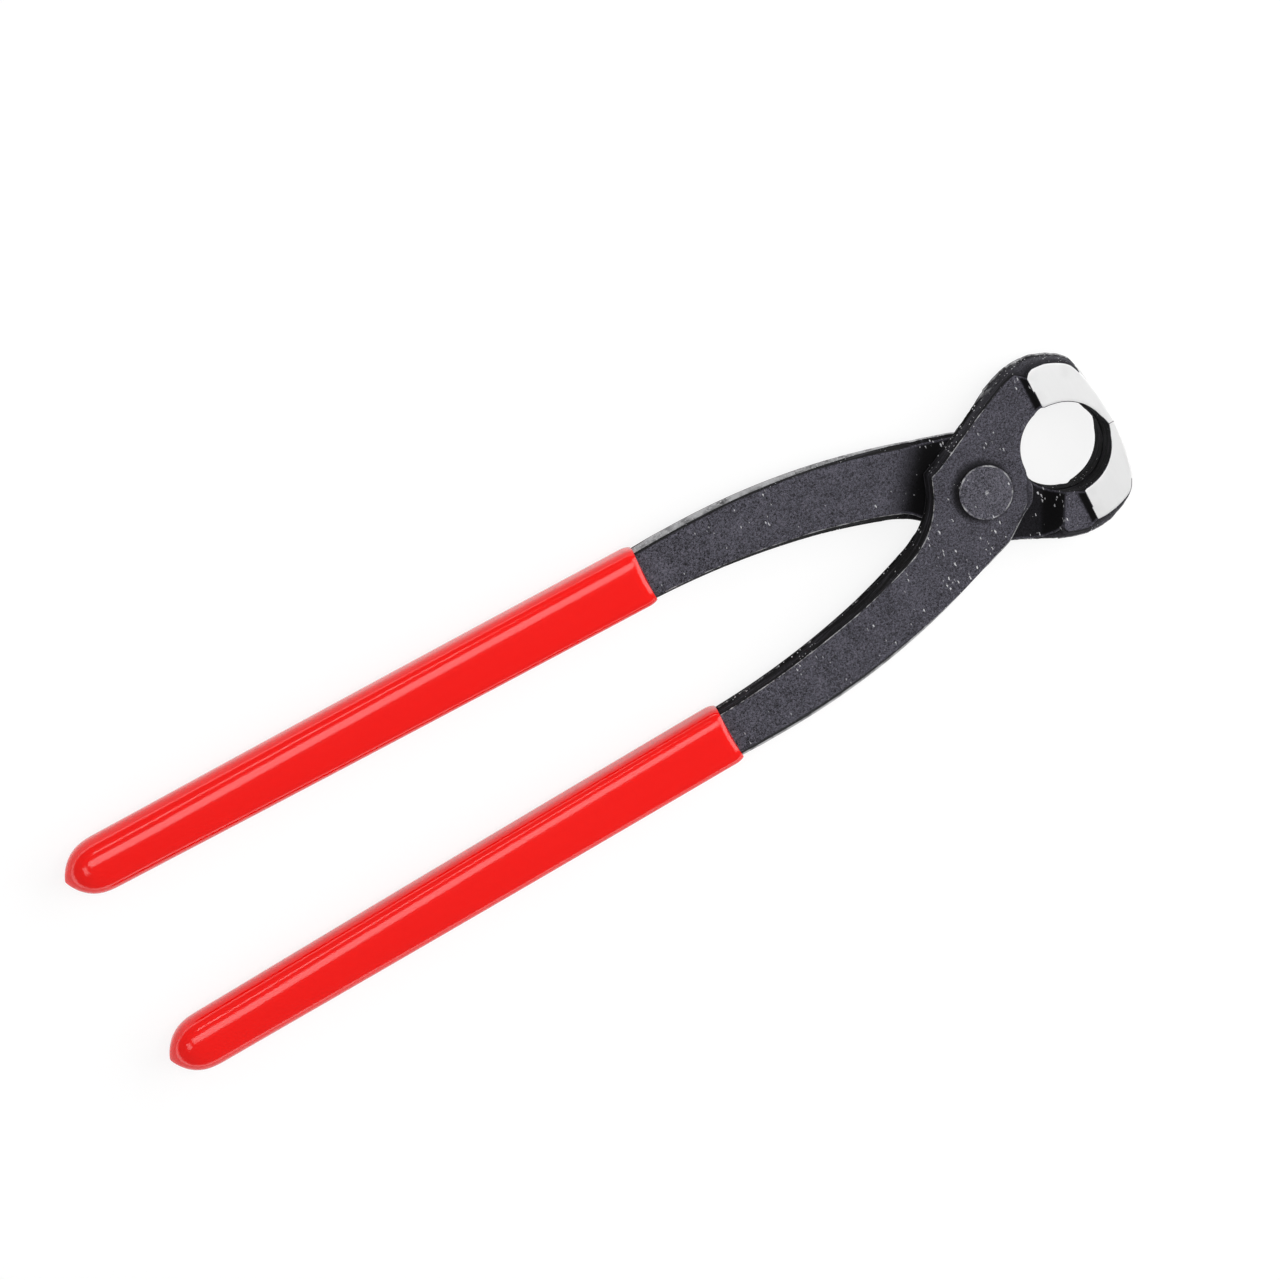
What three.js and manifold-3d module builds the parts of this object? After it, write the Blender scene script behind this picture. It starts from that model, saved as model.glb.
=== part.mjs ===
// Ear clamp pincers: two equal forged levers that cross at one rivet, with dipped vinyl grips.
// Millimetres. +X runs from the rivet towards the jaws, +Y towards the front lever's jaw and
// +Z along the rivet. The origin is on the rivet's axis, on the flat face of its lower head.
import * as THREE from 'three';
import { mergeVertices } from 'three/addons/utils/BufferGeometryUtils.js';
import Module from 'manifold-3d';

const { degToRad } = THREE.MathUtils;
const quarterTurn = Math.PI / 2;

// Reach from the rivet's axis along X
const jawReach = 28.8;
const gripReach = 191.2;
const gripMouthReach = 65.5;

// Jaws
const jawHalfWidth = 17.6;
const jawThickness = 12;
const jawHoleRadius = 8.9;
const noseWall = 2;
const noseRadius = 38;
const noseCornerRadius = 4;
const crownRadius = 13.5;
const crownSetback = 11.7;
const groundFaceLength = 11.6;
const groundStepRadius = 2;

// Lap joint
const jointThickness = 9.8;
const bossCornerReach = 8.8;
const bossCornerSide = 8.5;
const bossFlankLean = degToRad(18);
const jawShoulderAngle = degToRad(27);
const jawShoulderRadius = 5;
const armShoulderAngle = degToRad(-142);
const armShoulderReach = 11.6;
const armShoulderRun = 4.6;

// Arms, which run on as tangs inside the grips
const armThickness = 6.8;
const armRiseStart = 46;
const armRiseEnd = 18;
const armInnerRadius = 163;
const crotchRadius = 17;
const armOuterRadius = 151;
const armOuterTurn = degToRad(22.5);
const armOuterStraight = 9.5;
const handleSide = 17.95;
const handleAngle = degToRad(1.15);
const tangWidth = 10.1;
const tangEndWidth = 8;

// Rivet
const rivetShankRadius = 3.9;
const rivetHeadRadius = 5.4;
const rivetHeadHeight = 1.2;
const rivetHeadEdge = 0.5;

// Grips
const gripWall = 0.9;
const gripTipWall = 6.6;
const gripTipFlat = 1.2;
const gripNoseLength = 9.2;
const gripNoseFullness = 3;
const gripEdgeRadius = 2.4;

// Clearances
const lapGap = 0.3;
const jawGap = 0.3;
const headGap = 0.2;
const shankGap = 0.1;
const gripGap = 0.3;

// Facets
const roundSegments = 48;
const curveSegments = 7;
const edgeSegments = 4;
const noseSteps = 7;

// Heights above the tool's middle plane
const jawHalf = jawThickness / 2;
const jointHalf = jointThickness / 2;
const armHalf = armThickness / 2;
const lapHeight = lapGap / 2;
const headSeat = jointHalf + headGap;
const rivetHalf = headSeat + rivetHeadHeight;

// Lengths along a handle, from the shoulder of the grip's mouth
const handleLength = (gripReach - gripMouthReach) / Math.cos(handleAngle);
const tangLength = handleLength - gripTipWall;
const tangTaper = Math.atan((tangWidth - tangEndWidth) / (2 * tangLength));

// A size that reaches past every part of the tool, for the cutters
const beyond = gripReach + jawReach;

const origin = new THREE.Vector2();
const holeCentre = new THREE.Vector2(jawReach - noseWall - jawHoleRadius, 0);
const groundFaceReach = jawReach - groundFaceLength;
const mouthCentre = new THREE.Vector2(-gripMouthReach, -handleSide);

const wasm = await Module();
wasm.setup();

// A closed solid from a three.js geometry.
function solid(geometry) {
  const bare = geometry.clone();
  bare.deleteAttribute('normal');
  bare.deleteAttribute('uv');
  const merged = mergeVertices(bare);
  return new wasm.Manifold(new wasm.Mesh({
    numProp: 3,
    vertProperties: Float32Array.from(merged.attributes.position.array),
    triVerts: Uint32Array.from(merged.index.array),
  }));
}

// A three.js geometry from a closed solid.
function geometryOf(body) {
  const mesh = body.getMesh();
  const geometry = new THREE.BufferGeometry();
  geometry.setAttribute('position', new THREE.BufferAttribute(mesh.vertProperties, 3));
  geometry.setIndex(new THREE.BufferAttribute(mesh.triVerts, 1));
  geometry.computeVertexNormals();
  return geometry;
}

function polar(centre, radius, angle) {
  return new THREE.Vector2(Math.cos(angle), Math.sin(angle)).multiplyScalar(radius).add(centre);
}

function bearing(from, to) {
  return Math.atan2(to.y - from.y, to.x - from.x);
}

// The point where two circles cross, to the left of the line between their centres.
function circlesCross(centreA, radiusA, centreB, radiusB) {
  const span = centreA.distanceTo(centreB);
  const along = (radiusA ** 2 - radiusB ** 2 + span ** 2) / (2 * span);
  return polar(centreA, radiusA, bearing(centreA, centreB) + Math.acos(along / radiusA));
}

// The point where a line that starts inside a circle leaves it.
function lineLeavesCircle(start, direction, centre, radius) {
  const line = polar(origin, 1, direction);
  const offset = start.clone().sub(centre);
  const along = offset.dot(line);
  const reach = Math.sqrt(radius ** 2 - offset.lengthSq() + along ** 2) - along;
  return polar(start, reach, direction);
}

// The angle on a circle where a line from an outside point touches it.
function touchAngle(centre, radius, point, side) {
  return bearing(centre, point) + side * Math.acos(radius / centre.distanceTo(point));
}

// A point of the handle: a distance along it towards the jaws, and across it towards the inside.
function onHandle(along, across) {
  return new THREE.Vector2(along, across).rotateAround(origin, handleAngle).add(mouthCentre);
}

function arc(path, centre, radius, start, end, clockwise) {
  path.absarc(centre.x, centre.y, radius, start, end, clockwise);
}

// The centre of a curve that leaves a point in one direction and bends to the left.
function bendCentre(point, direction, radius) {
  return polar(point, radius, direction + quarterTurn);
}

// A lever's outline seen along the rivet: jaw, lap boss, arm and tang, anticlockwise.
function leverOutline() {
  const outline = new THREE.Shape();

  // Jaw: nose, rounded corner and crown
  const noseCentre = new THREE.Vector2(jawReach - noseRadius, 0);
  const crownCentre = new THREE.Vector2(jawReach - crownSetback, jawHalfWidth - crownRadius);
  const cornerCentre = circlesCross(
    noseCentre, noseRadius - noseCornerRadius, crownCentre, crownRadius - noseCornerRadius);
  const noseEnd = bearing(noseCentre, cornerCentre);
  const crownStart = bearing(crownCentre, cornerCentre);
  const bossCorner = new THREE.Vector2(-bossCornerReach, bossCornerSide);
  const crownEnd = touchAngle(crownCentre, crownRadius, bossCorner, -1);
  arc(outline, noseCentre, noseRadius, Math.asin(jawGap / 2 / noseRadius), noseEnd, false);
  arc(outline, cornerCentre, noseCornerRadius, noseEnd, crownStart, false);
  arc(outline, crownCentre, crownRadius, crownStart, crownEnd, false);
  outline.lineTo(bossCorner.x, bossCorner.y);

  // Inner edge: the crotch below the boss, then the long bend of the arm
  const innerDirection = handleAngle + tangTaper;
  const innerCentre = bendCentre(onHandle(0, tangWidth / 2), innerDirection, armInnerRadius);
  const flankOffset = polar(bossCorner, crotchRadius, Math.PI - bossFlankLean);
  const crotchCentre = lineLeavesCircle(
    flankOffset, -quarterTurn - bossFlankLean, innerCentre, armInnerRadius - crotchRadius);
  const innerStart = bearing(innerCentre, crotchCentre);
  arc(outline, crotchCentre, crotchRadius, -bossFlankLean, innerStart, true);
  arc(outline, innerCentre, armInnerRadius, innerStart, innerDirection - quarterTurn, true);

  // Round end of the tang
  const tangEndRadius = tangEndWidth / 2;
  const tangEnd = onHandle(tangEndRadius - tangLength, 0);
  arc(outline, tangEnd, tangEndRadius, handleAngle + quarterTurn, handleAngle + 3 * quarterTurn, false);

  // Outer edge: straight past the grip, then the bend of the arm up to the boss
  const outerDirection = handleAngle - tangTaper;
  const outerStart = polar(onHandle(0, -tangWidth / 2), armOuterStraight, outerDirection);
  const outerCentre = bendCentre(outerStart, outerDirection, armOuterRadius);
  const outerEnd = polar(outerCentre, armOuterRadius, armOuterTurn - quarterTurn);
  arc(outline, outerCentre, armOuterRadius, outerDirection - quarterTurn, armOuterTurn - quarterTurn, false);

  // Boss round the rivet, which runs smoothly into the jaw's round opening
  const bossRadius = holeCentre.x - jawHoleRadius;
  arc(outline, origin, bossRadius, touchAngle(origin, bossRadius, outerEnd, 1), 0, false);
  arc(outline, holeCentre, jawHoleRadius, Math.PI, Math.asin(jawGap / 2 / jawHoleRadius), true);
  outline.closePath();
  return outline;
}

// A cutter with a profile of distance and height, as wide as the tool, facing a bearing about Z.
function cutter(profile, facing) {
  const geometry = new THREE.ExtrudeGeometry(
    profile, { depth: 2 * beyond, bevelEnabled: false, curveSegments });
  geometry.rotateX(quarterTurn).translate(0, beyond, 0).rotateZ(facing);
  return solid(geometry);
}

// The distance from the foot of the hollow step to the edge of the ground face.
function groundStepRun() {
  const rise = jawHalf - jointHalf;
  return Math.sqrt(groundStepRadius ** 2 - (groundStepRadius - rise) ** 2);
}

// What is forged away above the joint and arm, up to the hollow step of the ground jaw face.
function frontCutter() {
  const stepFoot = groundFaceReach - groundStepRun();
  const riseMiddle = -(armRiseStart + armRiseEnd) / 2;
  const stepTop = Math.asin(groundStepRun() / groundStepRadius) - quarterTurn;
  const profile = new THREE.Shape();
  profile.moveTo(-beyond, armHalf);
  profile.lineTo(-armRiseStart, armHalf);
  profile.bezierCurveTo(riseMiddle, armHalf, riseMiddle, jointHalf, -armRiseEnd, jointHalf);
  profile.absarc(stepFoot, jointHalf + groundStepRadius, groundStepRadius, -quarterTurn, stepTop);
  profile.lineTo(groundFaceReach, beyond);
  profile.lineTo(-beyond, beyond);
  return cutter(profile, 0);
}

// What is forged away below the arm and below the root of the jaw.
function backCutter() {
  const stepFoot = groundFaceReach - groundStepRun();
  const stepTop = quarterTurn - Math.asin(groundStepRun() / groundStepRadius);
  const profile = new THREE.Shape();
  profile.moveTo(-beyond, -beyond);
  profile.lineTo(groundFaceReach, -beyond);
  profile.absarc(stepFoot, -jointHalf - groundStepRadius, groundStepRadius, stepTop, quarterTurn);
  profile.lineTo(0, -jointHalf);
  profile.lineTo(0, -armHalf);
  profile.lineTo(-beyond, -armHalf);
  return cutter(profile, 0);
}

// The lap: a pocket for the other lever, between the ramp of the arm and the hollow jaw shoulder.
function lapCutter() {
  const rampEnd = armShoulderReach + armShoulderRun;
  const rampMiddle = armShoulderReach + armShoulderRun / 2;
  const ramp = new THREE.Shape();
  ramp.moveTo(-beyond, -beyond);
  ramp.lineTo(rampEnd, -beyond);
  ramp.lineTo(rampEnd, -armHalf);
  ramp.bezierCurveTo(rampMiddle, -armHalf, rampMiddle, lapHeight, armShoulderReach, lapHeight);
  ramp.lineTo(-beyond, lapHeight);

  const shoulderReach = holeCentre.x * Math.cos(jawShoulderAngle);
  const hollowX = shoulderReach - jawShoulderRadius;
  const hollowZ = lapHeight - jawShoulderRadius;
  const shoulder = new THREE.Shape();
  shoulder.moveTo(-beyond, -beyond);
  shoulder.lineTo(shoulderReach, -beyond);
  shoulder.absarc(hollowX, hollowZ, jawShoulderRadius, 0, quarterTurn);
  shoulder.lineTo(-beyond, lapHeight);

  return cutter(ramp, armShoulderAngle).intersect(cutter(shoulder, jawShoulderAngle));
}

function leverGeometry() {
  const blank = new THREE.ExtrudeGeometry(
    leverOutline(), { depth: jawThickness, bevelEnabled: false, curveSegments });
  blank.translate(0, 0, -jawHalf);
  const bore = new THREE.CylinderGeometry(
    rivetShankRadius + shankGap, rivetShankRadius + shankGap, 2 * jawThickness, roundSegments);
  bore.rotateX(quarterTurn);
  return geometryOf(solid(blank)
    .subtract(frontCutter())
    .subtract(backCutter())
    .subtract(lapCutter())
    .subtract(solid(bore)));
}

// The rivet: a round shank with a flat, round-edged head on each side.
function rivetGeometry() {
  const flatRadius = rivetHeadRadius - rivetHeadEdge;
  const edgeHeight = rivetHalf - rivetHeadEdge;
  const profile = new THREE.Path();
  profile.moveTo(0, -rivetHalf);
  profile.lineTo(flatRadius, -rivetHalf);
  profile.absarc(flatRadius, -edgeHeight, rivetHeadEdge, -quarterTurn, 0);
  profile.lineTo(rivetHeadRadius, -headSeat);
  profile.lineTo(rivetShankRadius, -headSeat);
  profile.lineTo(rivetShankRadius, headSeat);
  profile.lineTo(rivetHeadRadius, headSeat);
  profile.absarc(flatRadius, edgeHeight, rivetHeadEdge, 0, quarterTurn);
  profile.lineTo(0, rivetHalf);
  const geometry = new THREE.LatheGeometry(profile.getPoints(edgeSegments / 2), roundSegments);
  return geometry.rotateX(quarterTurn);
}

// A closed skin over rings of points, with a flat cap on the first and the last ring.
function loft(rings) {
  const count = rings[0].length;
  const last = (rings.length - 1) * count;
  const index = [];
  for (let first = 0; first < last; first += count) {
    for (let point = 0; point < count; point += 1) {
      const here = first + point;
      const next = first + (point + 1) % count;
      index.push(here, here + count, next, next, here + count, next + count);
    }
  }
  for (let point = 1; point < count - 1; point += 1) {
    index.push(0, point, point + 1);
    index.push(last, last + point + 1, last + point);
  }
  return new THREE.BufferGeometry().setFromPoints(rings.flat()).setIndex(index);
}

// A rounded oblong across the handle, at a distance along it.
function gripRing(along, halfWidth, halfHeight, edgeRadius) {
  const across = halfWidth - edgeRadius;
  const up = halfHeight - edgeRadius;
  const ring = new THREE.Path();
  ring.absarc(across, up, edgeRadius, 0, quarterTurn);
  ring.absarc(-across, up, edgeRadius, quarterTurn, 2 * quarterTurn);
  ring.absarc(-across, -up, edgeRadius, 2 * quarterTurn, 3 * quarterTurn);
  ring.absarc(across, -up, edgeRadius, 3 * quarterTurn, 4 * quarterTurn);
  return ring.getPoints(edgeSegments / 2).map((point) => new THREE.Vector3(along, point.x, point.y));
}

// The coat's outside: a slow taper from the mouth, then a nose that closes in to a blunt point.
function gripSkin() {
  const coat = gripGap + gripWall;
  const mouthHalf = tangWidth / 2 + coat;
  const halfHeight = armHalf + coat;
  const noseStart = gripNoseLength - handleLength;
  const noseHalf = mouthHalf + noseStart * Math.tan(tangTaper);
  const rings = [gripRing(-gripGap, mouthHalf, halfHeight, gripEdgeRadius)];
  for (let step = 0; step <= noseSteps; step += 1) {
    const share = step / noseSteps;
    const swell = Math.max(1 - share ** gripNoseFullness, gripTipFlat / noseHalf);
    rings.push(gripRing(
      noseStart - gripNoseLength * share, noseHalf * swell, halfHeight * swell, gripEdgeRadius * swell));
  }
  return loft(rings);
}

// The tang's outline with the room that the grip leaves round it, open at the mouth.
function tangRoom() {
  const endRadius = tangEndWidth / 2 + gripGap;
  const endCentre = tangEndWidth / 2 - tangLength;
  const mouthHalf = tangWidth / 2 + gripGap;
  const outline = new THREE.Shape();
  outline.moveTo(0, -mouthHalf);
  outline.lineTo(0, mouthHalf);
  outline.absarc(endCentre, 0, endRadius, quarterTurn, 3 * quarterTurn);
  return outline;
}

function gripGeometry() {
  const roomHeight = armThickness + 2 * gripGap;
  const room = new THREE.ExtrudeGeometry(
    tangRoom(), { depth: roomHeight, bevelEnabled: false, curveSegments });
  room.translate(0, 0, -roomHeight / 2);
  const geometry = geometryOf(solid(gripSkin()).subtract(solid(room)));
  return geometry.rotateZ(handleAngle).translate(mouthCentre.x, mouthCentre.y, 0);
}

function piece(name, geometry, material) {
  const mesh = new THREE.Mesh(geometry, material);
  mesh.name = name;
  return mesh;
}

const blackSteel = new THREE.MeshStandardMaterial({ color: 0x35343b, roughness: 0.5, metalness: 0.7 });
const redVinyl = new THREE.MeshStandardMaterial({ color: 0xe3150f, roughness: 0.22, metalness: 0 });

const lever = leverGeometry();
const grip = gripGeometry();

// The two halves are alike: the rear one is the front one turned half round about X.
const frontHalf = new THREE.Group();
frontHalf.add(piece('front_lever', lever, blackSteel), piece('front_grip', grip, redVinyl));
const rearHalf = new THREE.Group();
rearHalf.add(piece('rear_lever', lever, blackSteel), piece('rear_grip', grip, redVinyl));
rearHalf.rotation.x = Math.PI;

const pincers = new THREE.Group();
pincers.add(frontHalf, rearHalf, piece('pivot_rivet', rivetGeometry(), blackSteel));
pincers.position.z = rivetHalf;

export default pincers;
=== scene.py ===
# %% [markdown]
# # Ear clamp pincers
# Two equal forged steel levers cross at one rivet. Each lever ends in half of a round, open jaw that is
# ground bright at the nose, and each handle is dipped in red vinyl. The CAD solids give the sizes and the
# motion. This lesson dresses them: it makes each of the five pieces again with the edges, draft and
# finishes that the real tool has, and hides the plain solid behind it.

# %% Load the CAD frame
import math

import bmesh
import bpy
import numpy as np
from mathutils import Matrix, Vector


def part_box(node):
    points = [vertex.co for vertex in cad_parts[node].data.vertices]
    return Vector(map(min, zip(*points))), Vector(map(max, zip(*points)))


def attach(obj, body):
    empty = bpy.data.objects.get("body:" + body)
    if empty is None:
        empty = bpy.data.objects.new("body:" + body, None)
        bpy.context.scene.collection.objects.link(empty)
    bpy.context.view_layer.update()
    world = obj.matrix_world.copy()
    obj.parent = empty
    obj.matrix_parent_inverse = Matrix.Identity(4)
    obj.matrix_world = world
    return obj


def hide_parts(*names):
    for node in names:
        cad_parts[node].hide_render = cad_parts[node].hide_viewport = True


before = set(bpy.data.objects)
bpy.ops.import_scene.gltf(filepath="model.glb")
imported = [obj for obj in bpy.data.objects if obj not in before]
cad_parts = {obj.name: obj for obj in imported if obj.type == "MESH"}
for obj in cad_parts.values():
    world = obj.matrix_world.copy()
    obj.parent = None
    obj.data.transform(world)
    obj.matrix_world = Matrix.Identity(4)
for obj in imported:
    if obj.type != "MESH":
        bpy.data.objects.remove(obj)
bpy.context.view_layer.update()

print("CAD nodes:", ", ".join(sorted(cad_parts)))

# %% [markdown]
# ## Sizes
# Blender counts in metres and a toolmaker in millimetres, so the shapes below are worked out in
# millimetres and scaled once, when a mesh is made. Heights are measured from the tool's middle plane,
# where the two levers lap. The rivet's box says how high that plane lies in the CAD frame.

# %% Units and the middle plane
millimetre = 0.001
rivet_low, rivet_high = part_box("pivot_rivet")
middle_height = (rivet_low.z + rivet_high.z) / 2 / millimetre
print("Middle plane at", round(middle_height, 3), "mm")

# %% [markdown]
# ## Camera
# The tool lies flat and the camera looks almost straight down on it, from a little beyond the rear grip.
# A long lens far away keeps the two handles nearly parallel. The direction is built from three angles
# that can be read in a picture: the bearing and height of the camera over the tool, and how steeply the
# tool's long axis climbs across the frame. A Track To constraint can't give that last angle, so the
# camera's matrix is put together from its own right, up and backward directions.

# %% Place the camera
view_target = Vector((-72.3, 6.7, middle_height)) * millimetre
view_distance = 0.813
view_bearing = math.radians(103.3)
view_height = math.radians(75.9)
long_axis_climb = math.radians(29.3)
lens_length = 118.1

towards_camera = Vector((
    math.cos(view_height) * math.cos(view_bearing),
    math.cos(view_height) * math.sin(view_bearing),
    math.sin(view_height)))
long_axis = Vector((1, 0, 0))
long_axis_seen = (long_axis - towards_camera * long_axis.dot(towards_camera)).normalized()
picture_right = Matrix.Rotation(-long_axis_climb, 3, towards_camera) @ long_axis_seen
picture_up = towards_camera.cross(picture_right)

camera = bpy.data.objects.new("camera", bpy.data.cameras.new("camera"))
camera.data.lens = lens_length
camera.data.clip_start = 0.01
camera.matrix_world = Matrix.Translation(view_target + towards_camera * view_distance) @ Matrix(
    (picture_right, picture_up, towards_camera)).transposed().to_4x4()
bpy.context.scene.collection.objects.link(camera)
bpy.context.scene.camera = camera
bpy.context.scene.view_settings.view_transform = "Standard"
print("Camera at", [round(value, 4) for value in camera.matrix_world.translation])

# %% [markdown]
# ## Nodes and colours
# Every material and every Geometry Nodes tree below is built with one small function. It adds a node,
# sets its settings, and fills each input with a plain value or with a link from another node's socket.
# Colours are written as the hex values a colour picker shows, which are sRGB. Shaders count in linear
# light, so one function turns the first into the second.

# %% One function for nodes, one for colours
def add(tree, kind, inputs=(), **settings):
    node = tree.nodes.new(kind)
    for name, value in settings.items():
        setattr(node, name, value)
    for key, value in dict(inputs).items():
        socket = node.inputs[key]
        if isinstance(value, bpy.types.NodeSocket):
            tree.links.new(value, socket)
        else:
            socket.default_value = value
    return node


def colour(hex_value):
    channels = [int(hex_value[place:place + 2], 16) / 255 for place in (1, 3, 5)]
    linear = [c / 12.92 if c <= 0.04045 else ((c + 0.055) / 1.055) ** 2.4 for c in channels]
    return (*linear, 1)


def grain_scale(size):
    return 1 / (size * millimetre)


print("Mid grey in linear light:", round(colour("#808080")[0], 4))

# %% [markdown]
# ## Floor and room
# Product pictures like this are shot on a sheet of white paper that curves up into a backdrop. Here the
# sheet is turned once round the tool, so that it closes the picture from every side. For the camera, for
# mirrors and for glass it glows a little, so it reads as white while the tool still throws a soft shadow on
# it. For all other light it is plain matt paper. An even room light fills the shadows. A white world alone
# would be simpler, but the tool would float in it without a shadow.

# %% Sweep of paper
floor_radius = 2.2
sweep_height = 0.6
sweep_radius = 0.5
sweep_bend = np.radians(np.arange(9, 91, 9))
sweep_steps = 64
floor_gap = 0.0002

outline = [(0.0, 0.0), (floor_radius, 0.0)]
for turn in sweep_bend:
    outline.append((floor_radius + sweep_radius * math.sin(turn), sweep_radius * (1 - math.cos(turn))))
outline.append((floor_radius + sweep_radius, sweep_height))
work = bmesh.new()
rim = [work.verts.new((out, 0, up - floor_gap)) for out, up in outline]
edges = [work.edges.new(pair) for pair in zip(rim, rim[1:])]
bmesh.ops.spin(
    work, geom=rim + edges, cent=(0, 0, 0), axis=(0, 0, 1), angle=2 * math.pi, steps=sweep_steps)
bmesh.ops.remove_doubles(work, verts=work.verts, dist=0.0001)
bmesh.ops.recalc_face_normals(work, faces=work.faces)
if sum(face.normal.z for face in work.faces) < 0:
    bmesh.ops.reverse_faces(work, faces=work.faces)
floor_mesh = bpy.data.meshes.new("floor")
work.to_mesh(floor_mesh)
work.free()
floor_mesh.shade_smooth()
floor = bpy.data.objects.new("floor", floor_mesh)
bpy.context.scene.collection.objects.link(floor)
print("Floor", 2 * floor_radius, "m wide with a sweep", sweep_height, "m high")

# %% White paper and room light
def seen_directly(tree):
    """One for rays from the camera and from mirrors and glass, nought for the light that lands on things."""
    path = add(tree, "ShaderNodeLightPath").outputs
    seen = path["Is Camera Ray"]
    for ray in ("Is Glossy Ray", "Is Transmission Ray"):
        seen = add(tree, "ShaderNodeMath", {0: seen, 1: path[ray]}, operation="MAXIMUM").outputs[0]
    return seen


paper_glow = 0.82
room_light = 0.35
floor_paper = bpy.data.materials.new("white paper floor")
floor_paper.use_nodes = True
tree = floor_paper.node_tree
tree.nodes.clear()
paper = add(tree, "ShaderNodeBsdfDiffuse", {"Color": colour("#e4e4e4")})
shade = add(tree, "ShaderNodeBsdfDiffuse", {"Color": colour("#7c7c7c")})
glow = add(tree, "ShaderNodeEmission", {"Strength": paper_glow})
seen_paper = add(tree, "ShaderNodeAddShader", {0: shade.outputs[0], 1: glow.outputs[0]})
both = add(tree, "ShaderNodeMixShader", {
    0: seen_directly(tree), 1: paper.outputs[0], 2: seen_paper.outputs[0]})
add(tree, "ShaderNodeOutputMaterial", {"Surface": both.outputs[0]})
floor_mesh.materials.append(floor_paper)

world = bpy.data.worlds.new("studio")
world.use_nodes = True
bpy.context.scene.world = world
tree = world.node_tree
tree.nodes.clear()
room = add(tree, "ShaderNodeBackground", {"Strength": room_light})
add(tree, "ShaderNodeOutputWorld", {"Surface": room.outputs[0]})
print("Paper glows by", paper_glow, "in a room of", room_light)

# %% [markdown]
# ## Lamps
# The lamps are soft boxes of even brightness, and the glossy grips mirror them: the broad one overhead as
# the wide stripe along each grip, the narrow one as the thin stripe beside it, and the one at the handle
# end as the glint on the tips. The large one at the jaw end lights the noses, and low cards round the tool
# show as pale rims on its sides. A picture of a studio wrapped round the scene could light it too, but
# plain lamps can be set one by one until each stripe lies where it should.

# %% Soft boxes
lamp_distance = 0.95


def soft_box(name, bearing, lean, spread, length, brightness):
    """A lamp at a bearing round the tool, leaning away from upright.

    Its width is given as the angle over which it spreads, and its brightness counts white paper as 1.
    """
    width = 2 * lamp_distance * math.tan(math.radians(spread / 2))
    lamp = bpy.data.lights.new(name, "AREA")
    lamp.shape = "RECTANGLE"
    lamp.size = width
    lamp.size_y = length
    lamp.energy = brightness * math.pi * length * width
    holder = bpy.data.objects.new(name, lamp)
    holder.visible_camera = False
    turn = Matrix.Rotation(math.radians(bearing), 4, "Z") @ Matrix.Rotation(math.radians(lean), 4, "Y")
    holder.matrix_world = Matrix.Translation(view_target) @ turn @ Matrix.Translation((0, 0, lamp_distance))
    bpy.context.scene.collection.objects.link(holder)
    return holder


soft_box("overhead soft box", bearing=90, lean=9.5, spread=20, length=1.1, brightness=3.2)
soft_box("narrow soft box", bearing=102, lean=42, spread=4, length=0.3, brightness=5.0)
soft_box("handle end soft box", bearing=180, lean=43, spread=10, length=0.3, brightness=2.6)
soft_box("jaw end soft box", bearing=0, lean=52, spread=34, length=1.0, brightness=3.2)
for side, bearing in (("far", 90), ("near", 270), ("handle end", 180)):
    soft_box(side + " low card", bearing, lean=85, spread=9, length=1.8, brightness=1.4)
print("Lamps:", ", ".join(lamp.name for lamp in bpy.data.lights))

# %% [markdown]
# ## Lever outline
# A lever is drop forged: a hot bar is struck between two dies, so its plan is a chain of arcs and
# straights that run smoothly into one another. The outline is kept as two chains of points that start
# side by side at the jaw's tip and end side by side at the hidden end of the tang. One goes round the
# outside of the jaw, past the lap boss and along the inner edge of the arm. The other goes round the
# jaw's opening, the boss and the outer edge of the arm. Bezier curves drawn by hand would do as well, but
# arcs with real radii can be measured, and one of them can be changed without spoiling its neighbours.

# %% Lever sizes in millimetres
jaw_reach = 28.8
jaw_half_width = 17.6
jaw_half = 6.0
hole_radius = 8.9
nose_wall = 2.0
nose_radius = 38.0
nose_corner_radius = 4.0
crown_radius = 13.5
crown_setback = 11.7
ground_face_length = 11.6
ground_step_radius = 2.0

joint_half = 4.9
boss_corner = np.array([-8.8, 8.5])
boss_flank_lean = math.radians(18)
jaw_shoulder_bearing = math.radians(27)
jaw_shoulder_radius = 5.0
ramp_bearing = math.radians(38)
ramp_foot = 11.6
ramp_run = 7.0

arm_half = 3.4
arm_rise_start = -46.0
arm_rise_end = -18.0
arm_inner_radius = 163.0
crotch_radius = 17.0
arm_outer_radius = 151.0
arm_outer_turn = math.radians(22.5)
arm_outer_straight = 9.5
mouth = np.array([-65.5, -17.95])
handle_bearing = math.radians(1.15)
handle_length = 125.73
tang_length = 119.1
tang_half = 5.05
tang_end_half = 4.0
lap_height = 0.15
bore_radius = 4.0

quarter_turn = math.pi / 2
hole = np.array([jaw_reach - nose_wall - hole_radius, 0.0])
ground_edge = jaw_reach - ground_face_length
step_run = math.sqrt(ground_step_radius ** 2 - (ground_step_radius - jaw_half + joint_half) ** 2)
step_foot = ground_edge - step_run
tang_taper = math.atan((tang_half - tang_end_half) / tang_length)
print("Opening centre", hole, "ground face from", ground_edge, "step", round(step_run, 3))

# %% Helpers for arcs and touching circles
chain_step = 0.05


def polar(centre, radius, bearing):
    return np.array([centre[0] + radius * math.cos(bearing), centre[1] + radius * math.sin(bearing)])


def bearing_between(start, end):
    return math.atan2(end[1] - start[1], end[0] - start[0])


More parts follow.
